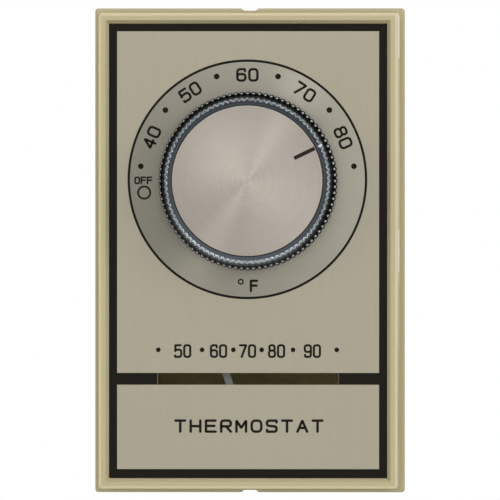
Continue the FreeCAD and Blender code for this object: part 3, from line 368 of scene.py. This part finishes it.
def clear_grip(name):
    """Clear plastic over a dark core, shown opaque, its light painted in: the core seen through the
    rim, highlights on the scalloped rim and more light at the bottom.
    """
    finish = Finish(name, Coat_Weight=0.15, Coat_Roughness=0.05, IOR=1.5, Specular_IOR_Level=0.3)
    radius, angle = finish.about_axis()
    lobes = (angle * float(RIB_COUNT)).cosine()
    scuffs = finish.noise(finish.place(), 1.3, 6.0, 0.75)
    flecks = ((scuffs - 0.5) * 6.0 + 0.5).clamped()
    # painted light, strongest at the bottom of the knob
    bottom_light = frosting(angle)
    # painted highlights: the scallops of the rim, a thread inside them and a hazy band
    zigzag = band(radius, lobes * 0.27 + SCALLOP_RADIUS, 2.7)
    thread = band(radius, THREAD_RADIUS - lobes * 0.3, 4.0)
    haze = band(radius, HAZY_LIGHT_RADIUS, 0.9)
    light = (
        zigzag * (0.45 + flecks * 0.45 + bottom_light * 0.2)
        + thread * (0.08 + flecks * 0.4 + bottom_light * 0.3)
        + haze * bottom_light * (0.14 + flecks * 0.16)
    ).clamped()
    # painted light seen through the clear rim over the dark core
    painted_core_light = band(radius, CORE_RADIUS, 1.5) * (0.7 + bottom_light * 0.5)
    dark = finish.mix(painted_core_light.clamped(), colour(14, 17, 21), colour(76, 84, 92))
    finish.vary(
        Base_Color=finish.mix(light, dark, colour(205, 213, 219)),
        Metallic=light * 0.4,
        Roughness=0.22 + (scuffs - 0.5) * 0.24,
        Normal=finish.bump(scuffs, 0.012),
    )
    return finish.material


def fluted_side(name):
    """The knob's fluted side: dark between the ribs, with a painted glint on each rib's crest; the
    side reflects nothing of its own.
    """
    finish = Finish(name, Specular_IOR_Level=0.0)
    radius, angle = finish.about_axis()
    lobes = (angle * float(RIB_COUNT)).cosine()
    scuffs = finish.noise(finish.place(), 1.3, 6.0, 0.75)
    bottom_light = frosting(angle)
    crest = band(radius, GLINT_RADIUS, 3.4) * ((lobes - 0.2) * 2.2).clamped()
    glint = (crest * (0.5 + scuffs * 0.9) + bottom_light * 0.05).clamped()
    finish.vary(
        Base_Color=finish.mix(glint, colour(20, 21, 22), colour(236, 240, 242)),
        Roughness=0.4 + scuffs * 0.2,
        Normal=finish.bump(scuffs, 0.012),
    )
    return finish.material


STEEL = colour(176, 176, 174)
BRASS = colour(206, 172, 104)

FINISHES = {
    "beige_plastic": moulded(
        "beige_plastic", colour(198, 187, 147), 0.3, 2.2, 0.008, 0.02, cover_ridge
    ),
    "black_plastic": moulded("black_plastic", colour(24, 25, 27), 0.4, 3.0, 0.010, 0.2),
    "nylon": moulded("nylon", colour(226, 222, 206), 0.38, 2.0, 0.010, 0.04),
    "ceramic": moulded("ceramic", colour(214, 206, 190), 0.6, 4.0, 0.015, 0.06),
    # the needle is white: its mid grey here is painted shade, on top of the shade it gets behind the
    # slot
    "needle_paint": moulded("needle_paint", colour(150, 152, 150), 0.5, 5.0, 0.004, 0.04),
    "phenolic": speckled("phenolic", colour(42, 34, 30), colour(96, 82, 70)),
    "fibre": speckled("fibre", colour(168, 154, 112), colour(196, 180, 136), 0.75),
    "zinc_steel": spangled("zinc_steel", colour(186, 188, 188)),
    "steel": metal("steel", STEEL, 0.28, (1, 1, 1)),
    "spring_steel": metal("spring_steel", colour(150, 152, 156), 0.26, (4, 4, 0.2)),
    "magnet_steel": metal("magnet_steel", colour(104, 104, 106), 0.5, (1, 1, 1), 0.02, 0.3),
    "brass": metal("brass", BRASS, 0.3, (2, 2, 0.3), 0.006, 0.25),
    "copper_alloy": metal("copper_alloy", colour(196, 132, 96), 0.28, (3, 3, 0.2), 0.005, 0.25),
    "silver": metal("silver", colour(224, 222, 214), 0.2, (1, 1, 1), 0.004, 0.2),
    "bimetal": metal("bimetal", colour(178, 172, 158), 0.3, (3, 3, 0.2), 0.005, 0.18),
    "green_steel": metal("green_steel", colour(70, 122, 84), 0.34, (1, 1, 1), 0.006, 0.25),
    "brushed_aluminium": brushed_plate("brushed_aluminium", colour(190, 183, 163)),
    "spun_aluminium": spun("spun_aluminium", colour(203, 194, 183), 0.36, 0.75, 0.24, 0.12),
    "clear_plastic": clear_grip("clear_plastic"),
}
SCALE_METAL = spun("scale_metal", colour(171, 167, 153), 0.42, 0.9, 0.36, 0.03, 0.34)
FLUTED_SIDE = fluted_side("fluted_side")
INK = ink("print_ink", colour(27, 23, 17))
POINTER_INK = ink("pointer_ink", colour(46, 35, 31))
# white for the painted glint on the knob's rim
KEY_GLINT_WHITE = ink("key_glint_white", colour(232, 236, 238))

for part in frame["record"]["subparts"]:
    mesh = frame["nodes"][part["node"]].data
    mesh.materials.clear()
    mesh.materials.append(FINISHES[part["material_slot"]])


# ---------------------------------------------------------------- where things are


def middle(node):
    low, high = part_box(node)
    return (low + high) / 2


face_low, face_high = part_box("faceplate")
insert_low, insert_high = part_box("dial_insert")
skirt_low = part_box("knob_skirt")[0]

DIAL = Vector((middle("dial_insert").x / MM, middle("dial_insert").z / MM))
FACE_FRONT = -face_low.y / MM
INSERT_FRONT = -insert_low.y / MM
INSERT_BACK = -insert_high.y / MM
INSERT_RADIUS = (insert_high.x - insert_low.x) / 2 / MM
KNOB_FRONT = -skirt_low.y / MM
# the printed dial's centre is a little to the left of the knob's axis and above it
PRINTED_DIAL = DIAL + Vector((-0.17, 0.4))


def polar(radius, degrees, centre=DIAL):
    angle = math.radians(degrees)
    return centre + Vector((math.cos(angle), math.sin(angle))) * radius


# ---------------------------------------------------------------- meshes


def new_mesh(name, points, faces, finish):
    """A mesh from points in metres."""
    mesh = bpy.data.meshes.new(name)
    mesh.from_pydata(points, [], faces)
    mesh.validate()
    mesh.update()
    mesh.materials.append(finish)
    return mesh


def set_on_body(name, mesh, place, body, replaced=()):
    """The mesh as a piece at its place, riding on a body."""
    made = bpy.data.objects.new(name, mesh)
    bpy.context.scene.collection.objects.link(made)
    made.matrix_world = place
    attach(made, body)
    if replaced:
        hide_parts(*replaced)


def round_corners(corners, radius, closed):
    """The line through the corners with each one rounded, as many short steps."""
    steps = 7
    count = len(corners)
    line = []
    for index, corner in enumerate(corners):
        if not closed and index in (0, count - 1):
            line.append(corner)
            continue
        before = corners[index - 1] - corner
        after = corners[(index + 1) % count] - corner
        half = before.angle(after) / 2
        reach = min(radius / math.tan(half), before.length / 2, after.length / 2)
        start = corner + before.normalized() * reach
        end = corner + after.normalized() * reach
        for step in range(steps + 1):
            share = step / steps
            line.append(
                start * (1 - share) ** 2 + corner * 2 * share * (1 - share) + end * share**2
            )
    clean = [line[0]]
    for point in line[1:]:
        if (point - clean[-1]).length > 1e-4:
            clean.append(point)
    if closed and (clean[0] - clean[-1]).length < 1e-4:
        clean.pop()
    return clean


class Printed:
    """Thin flat shapes on a front face, made as one mesh of closed slabs."""

    LAYER = 0.0015
    LAYERS = 7

    def __init__(self, depth, thickness=0.03, sink=0.05):
        self.depth = depth
        self.thickness = thickness
        self.sink = sink
        self.points = []
        self.faces = []
        self.count = 0

    def shape(self, flat, faces):
        """Flat points in millimetres and faces that wind anticlockwise from the front."""
        front = self.depth + self.thickness + self.LAYER * self.count
        back = self.depth - self.sink
        self.count = (self.count + 1) % self.LAYERS
        start = len(self.points)
        size = len(flat)
        for depth in (front, back):
            self.points += [(x * MM, -depth * MM, z * MM) for x, z in flat]
        edges = {}
        for face in faces:
            self.faces.append([start + corner for corner in face])
            self.faces.append([start + size + corner for corner in reversed(face)])
            for one, other in zip(face, face[1:] + face[:1]):
                edges[(one, other)] = True
        for one, other in edges:
            if (other, one) not in edges:
                self.faces.append(
                    [start + other, start + one, start + size + one, start + size + other]
                )

    def bar(self, left, right, low, high):
        self.shape([(left, low), (right, low), (right, high), (left, high)], [[0, 1, 2, 3]])

    def dot(self, centre, radius):
        steps = 40
        angles = [TURN * step / steps for step in range(steps)]
        rim = [centre + Vector((math.cos(a), math.sin(a))) * radius for a in angles]
        self.shape(rim, [list(range(steps))])

    def loop(self, inner, outer):
        """The band between two closed lines with as many points each."""
        count = len(inner)
        faces = []
        for index in range(count):
            beside = (index + 1) % count
            faces.append([count + index, count + beside, beside, index])
        self.shape(list(inner) + list(outer), faces)

    def ring(self, centre, radius, width, steps):
        angles = [TURN * step / steps for step in range(steps)]
        inner, outer = [
            [centre + Vector((math.cos(a), math.sin(a))) * reach for a in angles]
            for reach in (radius - width / 2, radius + width / 2)
        ]
        self.loop(inner, outer)

    def stroke(self, line, width, closed=False):
        """A band of one width along a line, with round ends where it is open."""
        count = len(line)
        left, right = [], []
        for index, point in enumerate(line):
            before = line[index - 1] if closed or index else point
            after = line[(index + 1) % count] if closed or index < count - 1 else point
            arriving = (point - before).normalized() if point != before else None
            leaving = (after - point).normalized() if after != point else None
            arriving = arriving or leaving
            leaving = leaving or arriving
            along = (arriving + leaving).normalized()
            across = Vector((-along.y, along.x))
            reach = width / 2 / max(0.4, along.dot(arriving))
            left.append(point + across * reach)
            right.append(point - across * reach)
        if closed:
            self.loop(left, right)
            return
        flat = left + right
        faces = [
            [count + index, count + index + 1, index + 1, index] for index in range(count - 1)
        ]
        steps = 6
        for end, start_point, stop_point in ((0, left[0], right[0]), (-1, right[-1], left[-1])):
            centre = line[end]
            arm = start_point - centre
            first = len(flat)
            flat += [
                centre + Matrix.Rotation(math.pi * step / steps, 2) @ arm
                for step in range(1, steps)
            ]
            if end == 0:
                faces.append([0] + list(range(first, first + steps - 1)) + [count])
            else:
                faces.append([2 * count - 1] + list(range(first, first + steps - 1)) + [count - 1])
        self.shape(flat, faces)

    def piece(self, name, finish, body):
        mesh = new_mesh(name, self.points, self.faces, finish)
        set_on_body(name, mesh, Matrix(), body)


# ---------------------------------------------------------------- lettering

ROUND = 0.42
SHARP = 0.04

BOX = [(0, 0), (1, 0), (1, 1), (0, 1)]
GLYPHS = {
    "0": [(BOX, True, ROUND)],
    "4": [([(0.74, 0), (0.74, 1), (0, 0.27), (1, 0.27)], False, SHARP)],
    "5": [
        ([(0.93, 1), (0.06, 1), (0, 0.5)], False, SHARP),
        ([(0, 0.5), (0.22, 0.62), (1, 0.62), (1, 0), (0, 0), (0, 0.12)], False, ROUND),
    ],
    "6": [
        ([(0, 0), (1, 0), (1, 0.57), (0, 0.57)], True, ROUND),
        ([(0, 0.3), (0, 1), (0.95, 1), (0.95, 0.82)], False, ROUND),
    ],
    "7": [([(0, 1), (1, 1), (0.28, 0)], False, SHARP)],
    "8": [
        ([(0, 0), (1, 0), (1, 0.54), (0, 0.54)], True, ROUND),
        ([(0.06, 0.54), (0.94, 0.54), (0.94, 1), (0.06, 1)], True, ROUND),
    ],
    "9": [
        ([(0, 0.43), (1, 0.43), (1, 1), (0, 1)], True, ROUND),
        ([(1, 0.7), (1, 0), (0.05, 0), (0.05, 0.18)], False, ROUND),
    ],
    "O": [(BOX, True, ROUND)],
    "F": [([(0, 0), (0, 1), (1, 1)], False, SHARP), ([(0, 0.53), (0.92, 0.53)], False, SHARP)],
    "T": [([(0, 1), (1, 1)], False, SHARP), ([(0.5, 1), (0.5, 0)], False, SHARP)],
    "H": [
        ([(0, 0), (0, 1)], False, SHARP),
        ([(1, 0), (1, 1)], False, SHARP),
        ([(0, 0.5), (1, 0.5)], False, SHARP),
    ],
    "E": [
        ([(1, 1), (0, 1), (0, 0), (1, 0)], False, SHARP),
        ([(0, 0.52), (0.88, 0.52)], False, SHARP),
    ],
    "R": [
        ([(0, 0), (0, 1), (1, 1), (1, 0.48), (0, 0.48)], False, 0.3),
        ([(0.5, 0.48), (1, 0)], False, SHARP),
    ],
    "M": [([(0, 0), (0, 1), (0.5, 0.35), (1, 1), (1, 0)], False, SHARP)],
    "S": [
        ([(1, 0.84), (1, 1), (0, 1), (0, 0.54), (1, 0.46), (1, 0), (0, 0), (0, 0.16)], False, ROUND)
    ],
    "A": [([(0, 0), (0.5, 1), (1, 0)], False, SHARP), ([(0.18, 0.34), (0.82, 0.34)], False, SHARP)],
}


def write(printed, text, centre, height, width, stroke, gap, lean=0.0):
    """Letters of one width about a centre, turned anticlockwise by lean degrees."""
    pitch = width + gap
    turn = Matrix.Rotation(math.radians(lean), 2)
    tall = height - stroke
    wide = width - stroke
    for place, letter in enumerate(text):
        left = (place - (len(text) - 1) / 2) * pitch - wide / 2
        for corners, closed, rounding in GLYPHS[letter]:
            points = [
                Vector((left + across * wide, (up - 0.5) * tall)) for across, up in corners
            ]
            line = round_corners(points, rounding * wide, closed)
            printed.stroke([centre + turn @ point for point in line], stroke, closed)


# ---------------------------------------------------------------- prints on the faceplate

PANEL_HALF_WIDTH = 31.85
PANEL_TOP = 53.4
PANEL_BOTTOM = -53.05
BORDER_OUTER = (face_high.x / MM, face_high.z / MM)
BAND_HEIGHT = 2.87
BAND_MIDDLE = -31.1
SLOT_HALF = 44.05 / 2
# the ink stops this short of the slot's ends, so a thin line of bare metal stands in for the
# highlight on the slot's edges
SLOT_HIGHLIGHT_EDGE = 0.05
RING_LINE_RADIUS = 28.85
RING_LINE_WIDTH = 0.58
RING_LINE_STEPS = 240
SCALE_DOT_RADIUS = 26.1
SCALE_NUMBER_RADIUS = 25.4
DIAL_DOT_RADIUS = 0.69
OFF_MARK_RADIUS = 25.3
OFF_MARK_ANGLE = 187.3
OFF_WORD_SHIFT = Vector((-0.2, 2.96))
UNIT_SHIFT = Vector((1.6, -25.9))
DEGREE_MARK_SHIFT = Vector((-1.6, -24.9))
NEEDLE_MIDDLE_F = 70
NEEDLE_DEGREES_PER_F = 1.8
NEEDLE_SCALE_HEIGHT = 21.7
NEEDLE_SCALE_LEFT = 0.13
THERMOMETER_LINE = -24.35
THERMOMETER_DOT_RISE = 0.3
THERMOMETER_DOT_RADIUS = 0.57
NAME_MIDDLE = Vector((0.2, -42.6))
# rings: radius, width of the line and steps round it
OFF_RING = (1.48, 0.46, 96)
DEGREE_RING = (0.56, 0.34, 40)
# letters: height, width, stroke and gap
DIAL_LETTERS = (3.35, 2.55, 0.58, 0.37)
OFF_LETTERS = (1.9, 1.4, 0.4, 0.1)
UNIT_LETTERS = (3.05, 2.05, 0.58, 0)
THERMOMETER_LETTERS = (3.35, 2.0, 0.53, 0.2)
NAME_LETTERS = (3.3, 2.95, 0.62, 0.76)


def border_print():
    border = Printed(FACE_FRONT)
    wide, tall = BORDER_OUTER
    for side in SIDES:
        edges = sorted((side * PANEL_HALF_WIDTH, side * wide))
        border.bar(edges[0], edges[1], -tall, tall)
    border.bar(-PANEL_HALF_WIDTH, PANEL_HALF_WIDTH, PANEL_TOP, tall)
    border.bar(-PANEL_HALF_WIDTH, PANEL_HALF_WIDTH, -tall, PANEL_BOTTOM)
    for side in SIDES:
        edges = sorted((side * (SLOT_HALF + SLOT_HIGHLIGHT_EDGE), side * PANEL_HALF_WIDTH))
        border.bar(edges[0], edges[1], BAND_MIDDLE - BAND_HEIGHT / 2, BAND_MIDDLE + BAND_HEIGHT / 2)
    border.piece("border_print", INK, "cover")


def dial_angle(degrees_f):
    return 90 - (degrees_f - DIAL_TOP_F) * DIAL_DEGREES_PER_F


def dial_print():
    dial = Printed(FACE_FRONT + 0.02)
    dial.ring(PRINTED_DIAL, RING_LINE_RADIUS, RING_LINE_WIDTH, RING_LINE_STEPS)
    for degrees_f in range(40, 81, 10):
        angle = dial_angle(degrees_f)
        centre = polar(SCALE_NUMBER_RADIUS, angle, PRINTED_DIAL)
        write(dial, str(degrees_f), centre, *DIAL_LETTERS, angle - 90)
    for degrees_f in range(35, 86, 10):
        centre = polar(SCALE_DOT_RADIUS, dial_angle(degrees_f), PRINTED_DIAL)
        dial.dot(centre, DIAL_DOT_RADIUS)
    mark = polar(OFF_MARK_RADIUS, OFF_MARK_ANGLE, PRINTED_DIAL)
    dial.ring(mark, *OFF_RING)
    write(dial, "OFF", mark + OFF_WORD_SHIFT, *OFF_LETTERS)
    write(dial, "F", PRINTED_DIAL + UNIT_SHIFT, *UNIT_LETTERS)
    dial.ring(PRINTED_DIAL + DEGREE_MARK_SHIFT, *DEGREE_RING)
    dial.piece("dial_scale_print", INK, "cover")


def thermometer_x(degrees_f):
    """Where a temperature stands on the scale above the slot."""
    swing = math.radians(NEEDLE_DEGREES_PER_F * (degrees_f - NEEDLE_MIDDLE_F))
    return NEEDLE_SCALE_HEIGHT * math.tan(swing) - NEEDLE_SCALE_LEFT


def thermometer_print():
    scale = Printed(FACE_FRONT)
    for degrees_f in range(50, 91, 10):
        centre = Vector((thermometer_x(degrees_f), THERMOMETER_LINE))
        write(scale, str(degrees_f), centre, *THERMOMETER_LETTERS)
    for degrees_f in range(45, 96, 10):
        centre = Vector((thermometer_x(degrees_f), THERMOMETER_LINE + THERMOMETER_DOT_RISE))
        scale.dot(centre, THERMOMETER_DOT_RADIUS)
    scale.piece("thermometer_scale_print", INK, "cover")


def name_print():
    word = Printed(FACE_FRONT)
    write(word, "THERMOSTAT", NAME_MIDDLE, *NAME_LETTERS)
    word.piece("name_print", INK, "cover")


# ---------------------------------------------------------------- turned pieces

FACE_ON = Matrix.Rotation(math.radians(90), 4, "X")
SHARP_EDGE = math.radians(35)
DISC_STEPS = 180
SCALE_RING_BORE = 18.0
SCALE_RING_SINK = 0.05
SCALE_RING_RISE = 0.015
# the marks along the setting, the pointer line and the painted key glint: where each starts and
# ends, and half its width
POINTER_START = 12.6
POINTER_HALF_WIDTH = 0.465
KEY_GLINT = (19.1, 20.1, 0.24)


def turned(
    name, stations, steps, finish, body,
    closed=True, ripple=None, replaced=(), side=None, centre=DIAL,
):
    """A turned piece about an axis that faces the front, its own Z to the front.

    Stations are (radius, depth) in millimetres, from the back of the outside, over the front and
    down the inside. A third number is how far the radius dips between ribs. side is a second finish
    and how many rows of faces it takes from the first station on.
    """
    points = []
    for radius, depth, *dip in stations:
        for step in range(steps):
            angle = TURN * step / steps
            swing = ripple(angle) if dip and ripple else 0.0
            reach = radius - (dip[0] * swing if dip else 0.0)
            points.append((reach * math.cos(angle) * MM, reach * math.sin(angle) * MM, depth * MM))
    rows = len(stations)
    faces = []
    for row in range(rows if closed else rows - 1):
        near, far = row * steps, (row + 1) % rows * steps
        for step in range(steps):
            beside = (step + 1) % steps
            faces.append([near + step, near + beside, far + beside, far + step])
    if not closed:
        faces.append(list(range(steps))[::-1])
        faces.append([(rows - 1) * steps + step for step in range(steps)])
    mesh = new_mesh(name, points, faces, finish)
    if side:
        side_finish, side_rows = side
        mesh.materials.append(side_finish)
        for face in mesh.polygons[: side_rows * steps]:
            face.material_index = 1
    mesh.shade_smooth()
    mesh.set_sharp_from_angle(angle=SHARP_EDGE)
    place = Matrix.Translation((centre.x * MM, 0, centre.y * MM)) @ FACE_ON
    set_on_body(name, mesh, place, body, replaced)


def rib_dip(angle):
    """0 at a rib's crest and 1 in the valley between two ribs."""
    return 1 - abs(math.cos(angle * RIB_COUNT / 2))


def scale_ring():
    """The spun ring on the faceplate that carries the dial's numbers."""
    stations = [
        (RING_LINE_RADIUS, FACE_FRONT - SCALE_RING_SINK),
        (RING_LINE_RADIUS, FACE_FRONT + SCALE_RING_RISE),
        (SCALE_RING_BORE, FACE_FRONT + SCALE_RING_RISE),
        (SCALE_RING_BORE, FACE_FRONT - SCALE_RING_SINK),
    ]
    turned(
        "dial_scale_ring", stations, DISC_STEPS, SCALE_METAL, "cover",
        centre=PRINTED_DIAL,
    )


def insert_disc():
    edge = INSERT_RADIUS
    stations = [
        (edge, INSERT_BACK),
        (edge, INSERT_FRONT - 0.12),
        (edge - 0.04, INSERT_FRONT - 0.04),
        (edge - 0.14, INSERT_FRONT),
    ]
    turned(
        "dial_insert_disc", stations, DISC_STEPS, FINISHES["spun_aluminium"],
        "knob", closed=False, replaced=["dial_insert"],
    )


def setting_bar(printed, start, end, half_width):
    """A bar along the dial's setting, from one radius to another."""
    near, far = polar(start, SETTING_ANGLE), polar(end, SETTING_ANGLE)
    across = (far - near).normalized().orthogonal() * half_width
    printed.shape([near - across, far - across, far + across, near + across], [[3, 2, 1, 0]])


def pointer_line():
    line = Printed(INSERT_FRONT, 0.02)
    setting_bar(line, POINTER_START, INSERT_RADIUS - 0.1, POINTER_HALF_WIDTH)
    line.piece("pointer_line", POINTER_INK, "knob")


# radius, depth and dip between ribs: the fluted side, the groove, the scalloped rim, the bore
GRIP_STATIONS = [
    (21.74, 29.20, 0.40),
    (21.74, 29.60, 0.40),
    (21.32, 35.50, 0.40),
    (21.08, 39.50, 0.40),
    (21.00, 40.00, 0.40),
    (20.90, 40.25, 0.34),
    (20.74, 40.40, 0.24),
    (20.58, 40.42, 0.12),
    (20.44, 40.40, 0.06),
    (20.32, 40.55, 0.06),
    (20.20, 40.95, 0.14),
    (20.08, 41.35, 0.24),
    (19.92, 41.60, 0.30),
    (19.72, 41.70, 0.32),
    (19.50, 41.62, 0.28),
    (19.34, 41.40, 0.16),
    (19.20, 41.24, 0.04),
    (19.00, 41.20, 0.0),
    (18.42, 41.24, 0.0),
    (18.32, 41.20, 0.0),
    (18.30, 41.10, 0.0),
    (18.30, 40.92, 0.0),
    (18.90, 40.90, 0.0),
    (18.90, 29.20, 0.0),
]
FLUTED_ROWS = 7
STEPS_PER_RIB = 12


def grip():
    """The clear knob, its fluted side in a finish of its own."""
    turned(
        "knob_grip", GRIP_STATIONS, RIB_COUNT * STEPS_PER_RIB, FINISHES["clear_plastic"],
        "knob",
        ripple=rib_dip, replaced=["knob_skirt"], side=(FLUTED_SIDE, FLUTED_ROWS),
    )


def rim_tick():
    # a raised white mark on the knob's rim: a painted glint off the index key there
    key_glint_mark = Printed(KNOB_FRONT - 0.4, 0.37, 0.1)
    setting_bar(key_glint_mark, *KEY_GLINT)
    key_glint_mark.piece("rim_tick", KEY_GLINT_WHITE, "knob")


# ---------------------------------------------------------------- studio

FLOOR_HALF = 3.0
FLOOR_HEIGHT = -0.3
# name, place, width and power
LAMPS = [
    ("key_light", (1.5, -1.3, 0.7), 1.0, 12.0),
    ("fill_light", (-1.5, -1.3, 0.4), 1.0, 5.6),
    ("top_light", (0.0, -1.3, 1.7), 1.0, 9.6),
    ("front_light", (0.0, -3.2, 0.08), 2.4, 10.0),
    ("rear_light", (0.3, 1.6, 0.6), 1.4, 6.0),
]


def studio():
    """White surround, a pale floor well below and soft lamps all round."""
    scene = bpy.context.scene
    scene.view_settings.view_transform = "Standard"
    world = bpy.data.worlds.new("surround")
    scene.world = world
    world.use_nodes = True
    surround = NodeSheet(world.node_tree)
    lighting = surround.node("ShaderNodeBackground", sockets={"Color": WHITE, "Strength": 0.3})
    seen = surround.node("ShaderNodeBackground", sockets={"Color": WHITE, "Strength": 1.0})
    from_camera = surround.node("ShaderNodeLightPath")
    both = surround.node("ShaderNodeMixShader", sockets={0: from_camera, 1: lighting, 2: seen})
    surround.feed(surround.nodes["World Output"].inputs["Surface"], both)

    for lamp in LAMPS:
        soft_light(*lamp)

    floor_mesh = bpy.data.meshes.new("floor")
    corners = [(x * FLOOR_HALF, y * FLOOR_HALF, 0) for x, y in ((-1, -1), (1, -1), (1, 1), (-1, 1))]
    floor_mesh.from_pydata(corners, [], [[0, 1, 2, 3]])
    pale = Finish("pale_floor")
    pale.vary(Base_Color=(0.86, 0.86, 0.86, 1.0), Roughness=0.9)
    floor_mesh.materials.append(pale.material)
    floor = bpy.data.objects.new("floor", floor_mesh)
    floor.location.z = FLOOR_HEIGHT
    scene.collection.objects.link(floor)


def soft_light(name, place, size, power):
    lamp = bpy.data.lights.new(name, "AREA")
    lamp.shape = "DISK"
    lamp.size = size
    lamp.energy = power
    holder = bpy.data.objects.new(name, lamp)
    bpy.context.scene.collection.objects.link(holder)
    holder.location = place
    holder.rotation_euler = (-Vector(place)).to_track_quat("-Z", "Y").to_euler()
    holder.visible_camera = False


def view_camera():
    """A long lens from straight ahead, a little to the right and above."""
    distance = 2.2
    frame_width = 0.12150
    azimuth = math.radians(1.0)
    elevation = math.radians(0.3)
    aim = Vector((0.00049, case_low.y, 0.00023))
    level = math.cos(elevation)
    back = Vector((math.sin(azimuth) * level, -math.cos(azimuth) * level, math.sin(elevation)))
    lens = bpy.data.cameras.new("camera")
    lens.sensor_width = 36
    lens.lens = lens.sensor_width * distance / frame_width
    camera = bpy.data.objects.new("camera", lens)
    bpy.context.scene.collection.objects.link(camera)
    camera.location = aim + back * distance
    camera.rotation_euler = (-back).to_track_quat("-Z", "Y").to_euler()
    bpy.context.scene.camera = camera


view_camera()
studio()
border_print()
dial_print()
thermometer_print()
name_print()
scale_ring()
insert_disc()
pointer_line()
grip()
rim_tick()
